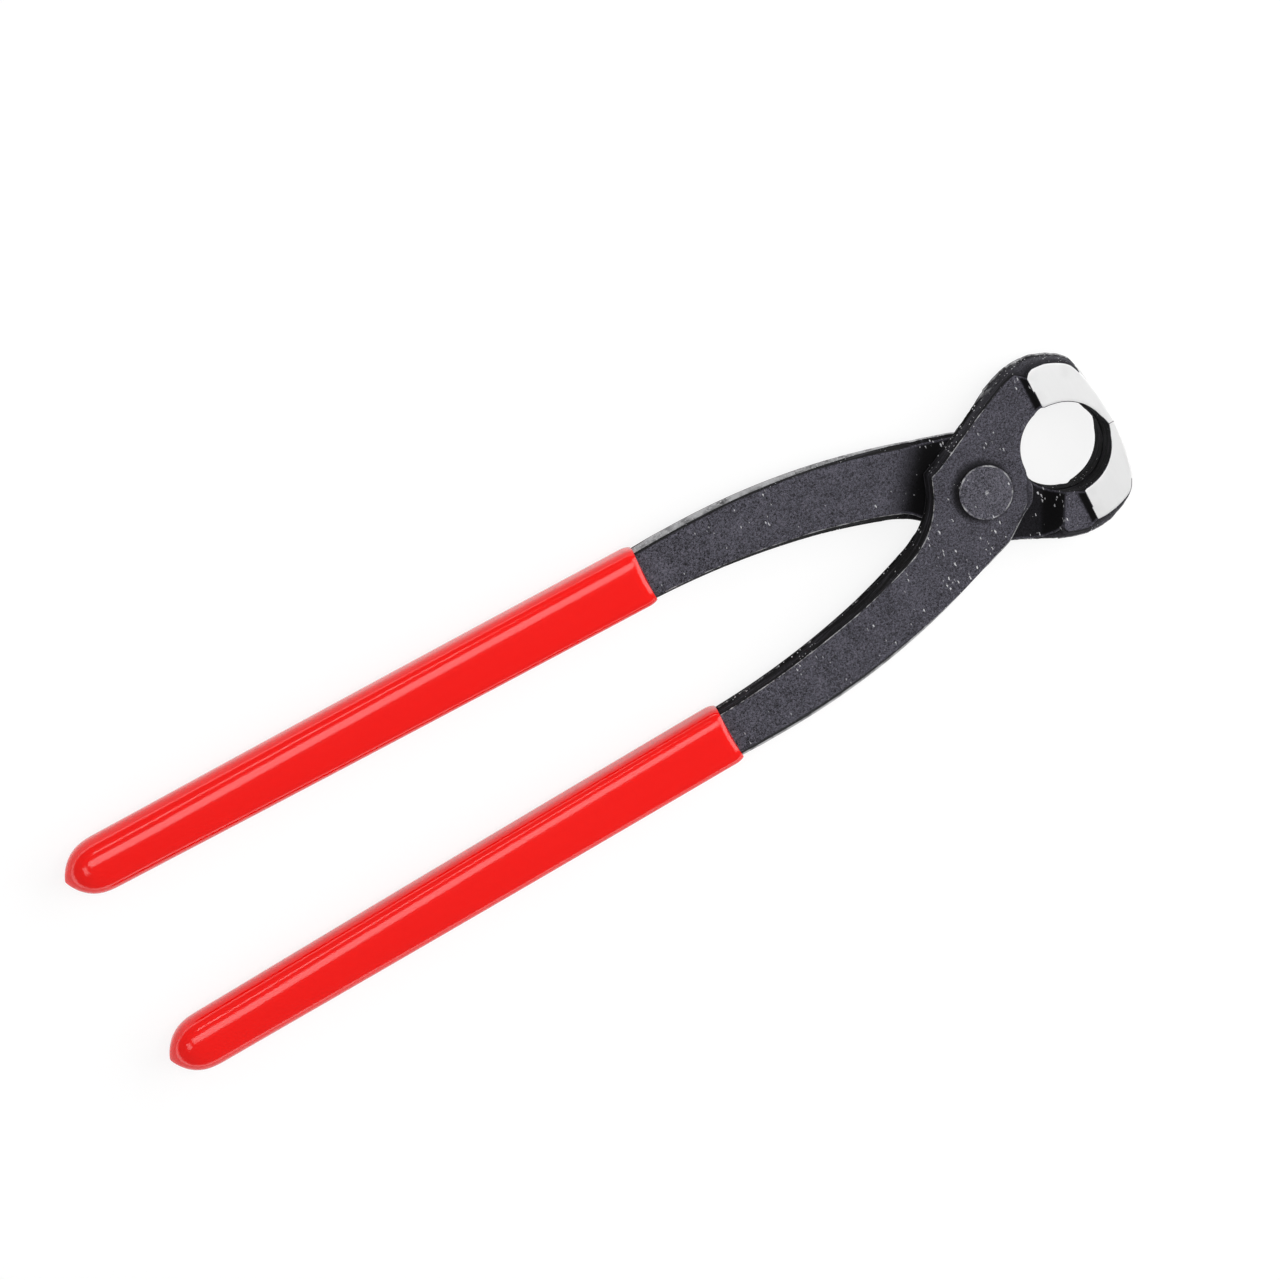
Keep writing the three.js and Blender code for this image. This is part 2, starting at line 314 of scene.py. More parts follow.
def arc(centre, radius, start, end):
    turn = np.linspace(start, end, max(3, int(abs(end - start) * radius / chain_step)))
    return np.column_stack([centre[0] + radius * np.cos(turn), centre[1] + radius * np.sin(turn)])


def circles_cross(centre, radius, other_centre, other_radius):
    span = np.linalg.norm(other_centre - centre)
    along = (radius ** 2 - other_radius ** 2 + span ** 2) / (2 * span)
    return polar(centre, radius, bearing_between(centre, other_centre) + math.acos(along / radius))


def line_leaves_circle(start, bearing, centre, radius):
    offset = start - centre
    along = offset @ polar((0, 0), 1, bearing)
    return polar(start, math.sqrt(radius ** 2 - offset @ offset + along ** 2) - along, bearing)


def touch_bearing(centre, radius, point, side):
    return bearing_between(centre, point) + side * math.acos(radius / np.linalg.norm(point - centre))


def on_handle(along, across):
    turn = np.array([[math.cos(handle_bearing), -math.sin(handle_bearing)],
                     [math.sin(handle_bearing), math.cos(handle_bearing)]])
    return mouth + turn @ np.array([along, across])


print("Handle ends at", on_handle(-handle_length, 0).round(2))

# %% Even chains of points
corner_softness = 1.2


def even_chain(*stretches):
    """Joins stretches, spaces the points evenly and rounds corners over a short length."""
    points = np.vstack(stretches)
    gaps = np.hypot(*np.diff(points, axis=0).T)
    points = points[np.append(True, gaps > 1e-6)]
    along = np.append(0, np.cumsum(np.hypot(*np.diff(points, axis=0).T)))
    even = np.arange(0, along[-1], chain_step)
    chain = np.column_stack([np.interp(even, along, points[:, axis]) for axis in (0, 1)])
    reach = int(corner_softness / chain_step / 2)
    padded = np.vstack([
        2 * chain[0] - chain[reach:0:-1], chain, 2 * chain[-1] - chain[-2:-reach - 2:-1]])
    window = np.ones(2 * reach + 1) / (2 * reach + 1)
    return np.column_stack([np.convolve(padded[:, axis], window, "valid") for axis in (0, 1)])


print("Corners are rounded over", corner_softness, "mm")

# %% Outside of the jaw, flank of the boss and inner edge of the arm
tip_gap = 0.05
nose_centre = np.array([jaw_reach - nose_radius, 0])
crown_centre = np.array([jaw_reach - crown_setback, jaw_half_width - crown_radius])
corner_centre = circles_cross(
    nose_centre, nose_radius - nose_corner_radius, crown_centre, crown_radius - nose_corner_radius)
nose_end = bearing_between(nose_centre, corner_centre)
crown_start = bearing_between(crown_centre, corner_centre)
crown_end = touch_bearing(crown_centre, crown_radius, boss_corner, -1)
inner_bearing = handle_bearing + tang_taper
inner_centre = polar(on_handle(0, tang_half), arm_inner_radius, inner_bearing + quarter_turn)
crotch_centre = line_leaves_circle(
    polar(boss_corner, crotch_radius, math.pi - boss_flank_lean), -quarter_turn - boss_flank_lean,
    inner_centre, arm_inner_radius - crotch_radius)
inner_start = bearing_between(inner_centre, crotch_centre)
outside_chain = even_chain(
    arc(nose_centre, nose_radius, math.asin(tip_gap / nose_radius), nose_end),
    arc(corner_centre, nose_corner_radius, nose_end, crown_start),
    arc(crown_centre, crown_radius, crown_start, crown_end),
    boss_corner,
    arc(crotch_centre, crotch_radius, -boss_flank_lean, inner_start),
    arc(inner_centre, arm_inner_radius, inner_start, inner_bearing - quarter_turn),
    on_handle(-tang_length, tang_end_half))
print("Outside chain of", len(outside_chain), "points")

# %% Opening of the jaw, boss and outer edge of the arm
outer_bearing = handle_bearing - tang_taper
outer_start = polar(on_handle(0, -tang_half), arm_outer_straight, outer_bearing)
outer_centre = polar(outer_start, arm_outer_radius, outer_bearing + quarter_turn)
outer_end = polar(outer_centre, arm_outer_radius, arm_outer_turn - quarter_turn)
boss_radius = hole[0] - hole_radius
opening_chain = even_chain(
    arc(hole, hole_radius, math.asin(tip_gap / hole_radius), math.pi),
    arc((0, 0), boss_radius, 0, touch_bearing(np.zeros(2), boss_radius, outer_end, 1)),
    arc(outer_centre, arm_outer_radius, arm_outer_turn - quarter_turn, outer_bearing - quarter_turn),
    on_handle(-tang_length, -tang_end_half))
print("Opening chain of", len(opening_chain), "points")

# %% [markdown]
# ## Cuts across the lever
# The skin of the lever is a loft: the two chains are cut by a run of straight lines and each cut becomes
# one closed ring. The cuts turn with the lever. They fan round the jaw's opening, lie along the ground
# step, the jaw's shoulder and the ramp of the arm, and square across the handle. That puts a ring exactly
# on every edge of the forging, which a boolean on a plain extrusion would leave sharp and ragged.

# %% Where the cuts lie
def across(bearing, distance):
    return polar((0, 0), distance, bearing)


shoulder_reach = hole[0] * math.cos(jaw_shoulder_bearing)
hollow_start = shoulder_reach - jaw_shoulder_radius
degrees = math.degrees
shoulder_turn = degrees(jaw_shoulder_bearing)
ramp_turn = degrees(ramp_bearing)
handle_turn = degrees(handle_bearing)
key_cuts = [
    ("tip", -90, hole + (0, tip_gap), 12),
    ("nose", -75, hole, 22),
    ("crown", -40, hole, 20),
    ("ground corner", -12, hole, 8),
    ("above step", -3, hole, 3),
    ("step corner", -1, (ground_edge + 0.45, 0), 3),
    ("step", 0, (ground_edge, 0), 10),
    ("step foot", 0, (step_foot, 0), 8),
    ("shoulder lip", shoulder_turn, across(jaw_shoulder_bearing, shoulder_reach + 0.9), 4),
    ("shoulder", shoulder_turn, hole, 1)]
for turn in np.linspace(80, 10, 8):
    reach = hollow_start + jaw_shoulder_radius * math.sin(math.radians(turn))
    key_cuts.append(("hollow", shoulder_turn, across(jaw_shoulder_bearing, reach), 2))
key_cuts += [
    ("lap", shoulder_turn, across(jaw_shoulder_bearing, hollow_start), 10),
    ("opening end", 28, across(math.radians(28), 7.9), 8),
    ("neck", 29.5, across(math.radians(29.5), 5.2), 8),
    ("boss side", 31, across(math.radians(31), 2.6), 8),
    ("boss", 32, (0, 0), 12),
    ("flank", 35, across(math.radians(35), -6), 12),
    ("ramp foot", ramp_turn, across(ramp_bearing, -ramp_foot), 12),
    ("ramp top", ramp_turn, across(ramp_bearing, -ramp_foot - ramp_run), 22),
    ("arm", 18, (-30, -13), 28),
    ("before mouth", 3, on_handle(4, 0), 6),
    ("mouth", handle_turn, mouth, 6),
    ("in grip", handle_turn, on_handle(-6, 0), 10),
    ("tang end", handle_turn, on_handle(2 - tang_length, 0), 0)]
key_names = [name for name, *_ in key_cuts]
key_place = np.append(0, np.cumsum([count for *_, count in key_cuts[:-1]]))
cut_place = np.arange(key_place[-1] + 1)
cut_bearing = np.radians(np.interp(cut_place, key_place, [bearing for _, bearing, _, _ in key_cuts]))
cut_point = np.column_stack([
    np.interp(cut_place, key_place, [point[axis] for _, _, point, _ in key_cuts]) for axis in (0, 1)])
print(len(cut_place), "cuts from", key_names[0], "to", key_names[-1])

# %% Where the cuts meet the chains
def cut_chain(chain, inward):
    """The point of a chain on each cut, and the direction from there into the steel."""
    normals = np.column_stack([np.cos(cut_bearing), np.sin(cut_bearing)])
    beyond = chain @ normals.T - np.sum(cut_point * normals, axis=1)
    after = np.argmax(beyond <= 0, axis=0)
    after[0] = 0
    after = np.maximum.accumulate(after)
    before = np.maximum(after - 1, 0)
    rows = np.arange(len(cut_place))
    high, low = beyond[before, rows], beyond[after, rows]
    share = np.clip(high / np.where(high == low, 1, high - low), 0, 1)
    place = np.where(after > 0, before + share, 0)
    tangent = np.gradient(chain, axis=0)
    tangent /= np.linalg.norm(tangent, axis=1)[:, None]
    index = np.arange(len(chain))
    points = np.column_stack([np.interp(place, index, chain[:, axis]) for axis in (0, 1)])
    run = np.column_stack([np.interp(place, index, tangent[:, axis]) for axis in (0, 1)])
    run /= np.linalg.norm(run, axis=1)[:, None]
    return points, inward * np.column_stack([-run[:, 1], run[:, 0]])


outside_points, outside_inward = cut_chain(outside_chain, 1)
opening_points, opening_inward = cut_chain(opening_chain, -1)
widths = np.linalg.norm(outside_points - opening_points, axis=1)
print("Lever is", widths.min().round(2), "to", widths.max().round(2), "mm wide along the cuts")

# %% [markdown]
# ## Heights of the forging
# Seen from the side the lever is thin at the arm, thicker at the joint and thickest at the jaw, where a
# hollow step leads up to the ground face. Below, half of the joint is missing: that is the lap, a pocket
# for the other lever between a ramp on the arm and a hollow shoulder on the jaw. Both sides are plain
# functions of the place on the lever, so any ring of the loft can ask for its height.

# %% Upper and lower side
def rise(share, start, end):
    """The height along a slow S curve, as two dies leave it."""
    share = np.clip(share, 0, 1)
    return start + (end - start) * share * share * (3 - 2 * share)


def up_ramp(x, y):
    return -(x * math.cos(ramp_bearing) + y * math.sin(ramp_bearing)) - ramp_foot


def past_hollow(x, y):
    return x * math.cos(jaw_shoulder_bearing) + y * math.sin(jaw_shoulder_bearing) - hollow_start


# Within these distances a point counts as lying on the ground face or at the end of the hollow
ground_tolerance = 0.03
hollow_tolerance = 0.002


def upper_side(x):
    arm = rise((x - arm_rise_start) / (arm_rise_end - arm_rise_start), arm_half, joint_half)
    into_step = np.clip(x - step_foot, 0, step_run)
    step = ground_step_radius - np.sqrt(ground_step_radius ** 2 - into_step ** 2)
    above = np.where(x > step_foot, joint_half + step, arm)
    return np.where(x >= ground_edge - ground_tolerance, jaw_half, above)


def lower_side(x, y):
    ramp = rise(up_ramp(x, y) / ramp_run, lap_height, -arm_half)
    into_hollow = np.clip(past_hollow(x, y), 0, jaw_shoulder_radius)
    hollow = lap_height - jaw_shoulder_radius + np.sqrt(jaw_shoulder_radius ** 2 - into_hollow ** 2)
    jaw = np.where(into_hollow >= jaw_shoulder_radius - hollow_tolerance, -upper_side(x), hollow)
    return np.where(up_ramp(x, y) > 0, ramp, jaw)


print("Upper side from", upper_side(-60.0), "to", upper_side(20.0), "mm")

# %% [markdown]
# ## Edges of the forging
# A forging can only leave its dies if the walls lean: that lean is the draft. The dies meet half way up,
# and the steel squeezed out there is trimmed off, which leaves a narrow bare seam round the lever. The
# trimming tears it a little, so it leans along the arm, and at the nose the grinding wheel took it away.
# The edges of the faces are rounded by the tumbling barrel. Each side of each ring therefore goes from the
# face round a small radius, down a leaning wall, over the seam, and the same way down to the other face.
# A Bevel modifier could round the edges, but it knows no draft and no seam.
#
# The measures below follow the key cuts and are read off between them, in millimetres:
# - face_inset and under_inset: how far inside the outline the upper and the lower face end
# - rounding: the radius of the faces' edges
# - seam_out, seam_lean, seam_half, seam_lift: how far the seam stands out, how much further its lower edge
#   does, half of its height, and how high it lies above the middle plane
# - seam_depth and seam_drop, under_depth and under_drop: the width and height of the slope that leads from
#   the wall to the seam, above it and below it
#
# The rest are shares. bend_out and bend_height say where the wall bends between its face and the seam. The
# others become marks for the material: bend_wall is how much painted shade darkens the wall at the bend,
# ledge how bright the seam's upper slope is, wear and chipped how bare the faces' edges and the walls are,
# and trim how bare the seam is.

# %% Measures along the lever
def along_cuts(**values):
    """A measure at each cut, from its values at the named key cuts."""
    places = [key_place[key_names.index(name.replace("_", " "))] for name in values]
    return np.interp(cut_place, places, list(values.values()))


def ragged(depth, seed):
    """Small random steps along the lever, as the trimming press leaves them."""
    steps = np.random.default_rng(seed).normal(0, depth, len(cut_place))
    return np.convolve(steps, (0.25, 0.5, 0.25), "same") * along_cuts(nose=0, crown=1, lap=1, flank=0)


lap_share = along_cuts(shoulder=0, lap=1, boss=1, ramp_foot=0)
plain_edge = {
    "seam_lean": 0.0,
    "seam_lift": 0.0,
    "seam_depth": 0.2,
    "seam_drop": 0.2,
    "under_depth": 0.2,
    "under_drop": 0.2,
    "ledge": 0.0,
    "chipped": 0.0}
print("Measures of a plain edge:", ", ".join(plain_edge))

# %% Draft, rounding and seam on the outside
outside_edge = plain_edge | {
    "seam_depth": along_cuts(tip=0.03, nose=0.05, crown=0.2),
    "under_depth": along_cuts(tip=0.03, nose=0.05, crown=0.2),
    "face_inset": along_cuts(
        tip=0.3, nose=0.35, crown=0.2, ground_corner=0.22, above_step=0.55, step_corner=1.0, step=1.85,
        step_foot=0.25, shoulder=0.35, lap=0.55, boss=1.5, flank=1.15, ramp_foot=0.95, ramp_top=0.55, arm=0.8,
        mouth=0.75, in_grip=1.2, tang_end=2.9),
    "under_inset": along_cuts(
        tip=0.3, nose=0.3, crown=0.2, ground_corner=1.55, step=2.0, step_foot=1.05, shoulder_lip=1.1,
        shoulder=2.0, lap=0.5, ramp_foot=0.6, ramp_top=0.6, arm=0.8, mouth=0.75, in_grip=1.2, tang_end=2.9),
    "rounding": along_cuts(tip=0.15, step=0.18, step_foot=0.22, mouth=0.3, in_grip=0.8, tang_end=2.6),
    "seam_out": ragged(0.07, 5) + along_cuts(
        tip=0.05, nose=0.1, crown=1.0, ground_corner=1.15, step_foot=1.15, shoulder=1.1, lap=0.55, boss=-0.45,
        flank=-0.3, ramp_foot=0.45, ramp_top=1.1, arm=0.7, mouth=0.4, in_grip=0.0, tang_end=-0.3),
    "seam_half": along_cuts(tip=0.15, ramp_top=0.2, mouth=0.5, tang_end=0.3),
    "bend_out": along_cuts(tip=0.5, crown=0.7, lap=0.75, boss=0.55, flank=0.75, arm=0.5),
    "bend_height": along_cuts(tip=0.5, crown=0.45, lap=0.45, flank=0.45, arm=0.5),
    "bend_wall": along_cuts(
        tip=1.0, nose=0.8, crown=0.3, ground_corner=0.2, step=0.35, step_foot=0.7, lap=0.6, boss=0.7,
        flank=0.8, ramp_foot=1.0, arm=1.0, mouth=0.8),
    "wear": along_cuts(tip=0.1, step=0.2, shoulder=0.6, lap=0.9, boss=1.0, ramp_foot=1.0, arm=1.0, mouth=0.8),
    "chipped": along_cuts(nose=0.0, crown=0.36, ground_corner=0.42, shoulder=0.42, lap=0.3, boss=0.0),
    "trim": along_cuts(
        tip=0.0, nose=0.1, crown=0.75, ground_corner=0.9, shoulder=0.85, lap=0.5, boss=0.3, ramp_foot=0.3,
        arm=0.5, mouth=0.6)}
print("Outside seam stands out by up to", outside_edge["seam_out"].max().round(2), "mm")

# %% Draft, rounding and seam in the opening
opening_edge = plain_edge | {
    "face_inset": along_cuts(
        tip=0.7, nose=0.25, ground_corner=0.2, step_corner=0.3, step=0.6, step_foot=0.15, opening_end=0.12,
        neck=0.88, boss_side=0.35, boss=0.45, ramp_foot=0.9, arm=1.22, mouth=1.15, in_grip=1.2, tang_end=2.9),
    "under_inset": along_cuts(
        tip=0.7, nose=0.25, ground_corner=0.2, step_corner=0.3, step=0.6, step_foot=0.15, opening_end=0.12,
        ramp_foot=0.4, ramp_top=0.3, arm=0.0, before_mouth=0.45, mouth=0.5, in_grip=1.2, tang_end=2.9),
    "rounding": along_cuts(tip=0.15, boss=0.2, mouth=0.2, in_grip=0.8, tang_end=2.6),
    "seam_out": along_cuts(
        opening_end=0.05, neck=1.15, boss_side=1.45, boss=1.05, ramp_foot=0.4, ramp_top=0.52, arm=0.6,
        before_mouth=0.58, mouth=0.42, in_grip=0.0, tang_end=-0.3),
    "seam_lean": along_cuts(boss=0.0, ramp_foot=0.2, ramp_top=0.21, arm=0.15, before_mouth=0.15, mouth=0.0),
    "seam_half": along_cuts(tip=0.05, boss=0.1, ramp_foot=0.3, ramp_top=0.5, in_grip=0.5, tang_end=0.3),
    "seam_depth": along_cuts(boss=0.2, ramp_foot=0.38, arm=0.49, mouth=0.47, in_grip=0.2),
    "seam_drop": along_cuts(boss=0.2, ramp_foot=0.4, arm=0.45, mouth=0.45, in_grip=0.2),
    "under_depth": along_cuts(boss=0.2, ramp_top=0.22, arm=0.53, before_mouth=0.78, mouth=0.6, in_grip=0.2),
    "under_drop": along_cuts(
        boss=0.2, ramp_top=0.6, arm=1.2, before_mouth=1.7, mouth=1.6, in_grip=0.4, tang_end=0.2),
    "seam_lift": along_cuts(opening_end=0.0, neck=1.6, boss_side=1.6, boss=0.9, ramp_foot=0.0),
    "bend_out": along_cuts(opening_end=0.5, neck=0.08, boss_side=0.12, boss=0.3, ramp_foot=0.5),
    "bend_height": along_cuts(opening_end=0.5, neck=0.3, boss_side=0.3, ramp_foot=0.5),
    "bend_wall": along_cuts(opening_end=1.0, neck=0.7, boss_side=0.7, boss=0.9, ramp_foot=1.0),
    "ledge": along_cuts(opening_end=0.0, neck=1.0, boss_side=1.0, boss=0.6, ramp_foot=0.0),
    "wear": along_cuts(tip=0.1, opening_end=0.1, neck=0.4, boss=0.8, ramp_foot=0.6, arm=0.5, mouth=0.4),
    "trim": along_cuts(opening_end=0.0, neck=0.3, boss=0.9, ramp_foot=1.0, mouth=1.0)}
print("Opening seam stands out by up to", opening_edge["seam_out"].max().round(2), "mm")

# %% [markdown]
# ## Rings of the loft
# Every cut now becomes one closed ring: the wall on the outside, the upper face, the wall in the opening
# and the lower face. All rings have the same number of points, so that neighbours can be joined by quads.
# Each point carries its marks for the materials along with its place. That is simpler than painting them
# on the finished mesh, because here it is still known what each row of points is.

# %% Rows of the walls
round_turns = np.radians([90, 68, 45, 22, 0])
lap_edge_round = 0.12
lap_seam_room = 0.2
low_row = 0.85
seam_core = 0.7
seam_waist = 0.15
ledge_shine = 0.8
shoulder_trim = 0.85
core_trim = 0.2
mark_names = ("wall", "worn", "trimmed", "drawn")


def wall_rows(points, inward, edge):
    """Rows of points from the upper face down to the lower face, with their marks for the materials."""
    def at(inset):
        return points + inward * np.broadcast_to(inset, len(points))[:, None]

    def half_wall(side, face_inset, level, radius):
        """Rows from a face to the seam, for the upper half with side 1 and for the lower with side -1."""
        upper = side > 0
        ledge = edge["ledge"] * upper
        out = edge["seam_out"] + edge["seam_lean"] * (not upper)
        rows = []
        # The third value of each row is its wall mark: how much painted shade darkens the wall there
        for turn in round_turns:
            rows.append((face_inset - radius * math.cos(turn), level - side * radius * (1 - math.sin(turn)),
                         math.cos(turn), edge["wear"] * math.sin(2 * turn), 0))
        shoulder_inset = edge["seam_depth" if upper else "under_depth"] - out
        shoulder = seam + side * (edge["seam_half"] + edge["seam_drop" if upper else "under_drop"])
        bend_inset = face_inset - radius + (shoulder_inset - face_inset + radius) * edge["bend_out"]
        bend = shoulder + (level - side * radius - shoulder) * edge["bend_height"]
        rows.append((bend_inset, bend, edge["bend_wall"], 0, edge["chipped"]))
        low_inset = bend_inset * (1 - low_row) + shoulder_inset * low_row
        low = bend * (1 - low_row) + shoulder * low_row
        rows.append((low_inset, low, 1 - ledge_shine * ledge, 0, edge["chipped"]))
        rows.append((shoulder_inset, shoulder, 1 - ledge, 0, edge["trim"] * shoulder_trim))
        rows.append((-out, seam + side * edge["seam_half"], 1 - ledge, ledge, edge["trim"]))
        in_seam = -out - edge["seam_lean"] * (seam_waist if upper else -seam_waist)
        rows.append((in_seam, seam + side * seam_core * edge["seam_half"], 1, 0, edge["trim"] * core_trim))
        return rows

    lap_inset = edge["under_depth"] + lap_edge_round - edge["seam_out"] - edge["seam_lean"]
    under_inset = edge["under_inset"] * (1 - lap_share) + lap_inset * lap_share
    top = upper_side(at(edge["face_inset"])[:, 0])
    bottom = lower_side(*at(under_inset).T)
    under_round = np.where(bottom > -1, lap_edge_round, edge["rounding"])
    under_room = edge["seam_half"] + edge["under_drop"] + lap_seam_room
    seam = np.maximum(0, bottom + under_round + under_room) + edge["seam_lift"]
    rows = half_wall(1, edge["face_inset"], top, edge["rounding"])
    rows += half_wall(-1, under_inset, bottom, under_round)[::-1]
    placed = []
    for inset, height, *marks in rows:
        marks = [np.broadcast_to(mark, len(points)) for mark in (*marks, 1)]
        placed.append(np.column_stack([at(inset), height, *marks]))
    return placed


outside_rows = wall_rows(outside_points, outside_inward, outside_edge)
opening_rows = wall_rows(opening_points, opening_inward, opening_edge)
print(len(outside_rows), "rows on each wall")

# %% Painted shade on the faces
shade_start = 0.3
step_fade = 0.5
hollow_fade = 1.6
lap_shade = 0.85
ramp_lead = 5
ramp_lead_fade = 3
ramp_fade = 8


def painted_shade_above(x, y):
    """How much painted shade the upper side gets: only in the hollow of the ground step."""
    return rise((x - step_foot - shade_start) / step_fade, 0, 1) * (x < ground_edge - ground_tolerance)


def painted_shade_below(x, y):
    """The same for the lower side: the ground step, the shoulder's hollow, the lap and the ramp."""
    in_hollow, on_ramp = past_hollow(x, y), up_ramp(x, y)
    before_jaw = in_hollow < jaw_shoulder_radius - hollow_tolerance
    hollow = rise((in_hollow - shade_start) / hollow_fade, 0, 1) * before_jaw
    lap = lap_shade * (on_ramp < 0) * before_jaw
    ramp = rise((on_ramp + ramp_lead) / ramp_lead_fade, 0, 1) * rise(on_ramp / ramp_fade, 1, 0)
    return np.maximum.reduce([painted_shade_above(x, y), hollow, lap, ramp])


print("The lap keeps", lap_shade, "of its scale")

# %% Rows of the faces
face_rows = 16
face_margin = 0.45
widest_margin = 0.25


def face_rows_between(start, end, height, black):
    """Rows of points across a face, the first and last of them close to its edges."""
    width = np.linalg.norm(end[:, :2] - start[:, :2], axis=1)
    margin = np.minimum(face_margin / width, widest_margin)
    placed = []
    for share in np.linspace(0, 1, face_rows):
        here = (margin + (1 - 2 * margin) * share)[:, None]
        place = start[:, :2] * (1 - here) + end[:, :2] * here
        unmarked = np.zeros((len(place), 3))
        placed.append(np.column_stack([place, height(*place.T), black(*place.T), unmarked]))
    return placed


ring_rows = outside_rows[::-1]
ring_rows += face_rows_between(outside_rows[0], opening_rows[0], lambda x, y: upper_side(x), painted_shade_above)
ring_rows += opening_rows
ring_rows += face_rows_between(opening_rows[-1], outside_rows[-1], lower_side, painted_shade_below)
rings = np.stack(ring_rows, axis=1)
middles = (outside_points + opening_points) / 2
run_along = np.append(0, np.cumsum(np.linalg.norm(np.diff(middles, axis=0), axis=1)))
print("Loft of", rings.shape[0], "rings with", rings.shape[1], "points, along", run_along[-1].round(1), "mm")

# %% [markdown]
# ## Black phosphated forged steel
# The levers are shot blasted, phosphated to a dark grey and oiled. The blasting leaves a fine grain on
# the faces, which scatters the light into a satin sheen, and hands have rubbed it smoother round the
# joint. The walls kept their forging scale, and painted shade darkens them further where shade falls, so
# they are almost black, with paler streaks drawn out along them. The same painted shade darkens the
# hollows, the lap and the ramp, and a painted shadow lies round the rivet's head. The coat is gone where
# the tool is handled: in broken bright lines on the edges of the faces, in short chips that lie crosswise,
# most of them round the joint, and on the trimmed seam of bare grey steel. The loft carries marks for this,
# called wall, worn, trimmed, drawn and along, and the material reads them as attributes; the wall mark
# carries the painted shade. Pictures of worn steel could be wrapped round the lever instead, but patterns
# with sizes in millimetres stay sharp, need no file and fit any piece. Each layer of the finish is one
# short function.

# %% Face and walls of the coat
# Real blasting is about half as coarse as this, which is drawn so that it shows in the picture
blasted_grain = 0.34
painted_shade_centre = (-0.35 * millimetre, 0.45 * millimetre, 0)


def from_rivet(tree, place):
    """Distance from the rivet's axis, a little off centre as the painted shadow round its head is."""
    offset = add(tree, "ShaderNodeVectorMath", {0: place, 1: painted_shade_centre}, operation="SUBTRACT").outputs[0]
    offset = add(tree, "ShaderNodeVectorMath", {0: offset, 1: (1, 1, 0)}, operation="MULTIPLY").outputs[0]
    return add(tree, "ShaderNodeVectorMath", {0: offset}, operation="LENGTH").outputs["Value"]


def blasted_face(tree, place, off_axis, grain, palest):
    """Grain and slow cloudiness of the coat, rubbed smoother round the joint."""
    cloud = add(tree, "ShaderNodeTexNoise", {
        "Vector": place, "Scale": grain_scale(5), "Detail": 3}).outputs["Fac"]
    tone = add(tree, "ShaderNodeMath", {0: cloud, 1: 0.15, 2: grain}, operation="MULTIPLY_ADD").outputs[0]
    tone = add(tree, "ShaderNodeMapRange", {
        "Value": tone, "From Min": 0.45, "From Max": 0.72, "To Min": 0, "To Max": 1}).outputs[0]
    rubbed = add(tree, "ShaderNodeMapRange", {
        "Value": off_axis, "From Min": 12 * millimetre, "From Max": 60 * millimetre,
        "To Min": 0.2, "To Max": 0}).outputs[0]
    tone = add(tree, "ShaderNodeMix", {0: rubbed, 2: tone, 3: 0.5}).outputs[0]
    return add(tree, "ShaderNodeMix", {
        0: tone, 6: colour("#0b0a0e"), 7: palest}, data_type="RGBA").outputs[2]


def forged_skin_and_painted_shade(tree, place, along, drawn):
    """Near-black walls, forged skin darkened by painted shade, with paler streaks along the forging."""
    height = add(tree, "ShaderNodeSeparateXYZ", {0: place}).outputs["Z"]
    height = add(tree, "ShaderNodeMath", {0: height, 1: 18}, operation="MULTIPLY").outputs[0]
    stretched = add(tree, "ShaderNodeCombineXYZ", {0: along, 1: height}).outputs[0]
    streak = add(tree, "ShaderNodeTexNoise", {
        "Vector": stretched, "Scale": grain_scale(9), "Detail": 4, "Roughness": 0.65}).outputs["Fac"]
    streak = add(tree, "ShaderNodeMapRange", {
        "Value": streak, "From Min": 0.5, "From Max": 0.72, "To Min": 0, "To Max": 1}).outputs[0]
    streak = add(tree, "ShaderNodeMath", {0: streak, 1: drawn}, operation="MULTIPLY").outputs[0]
    return add(tree, "ShaderNodeMix", {
        0: streak, 6: colour("#060507"), 7: colour("#47464c")}, data_type="RGBA").outputs[2]


print("Blasted grain of", blasted_grain, "mm")

# %% Chips and bare steel
chip_size = 0.48
chip_slenderness = 0.33

# The pattern is turned so that its rows of cells don't lie along the tool
chip_turn = 0.7


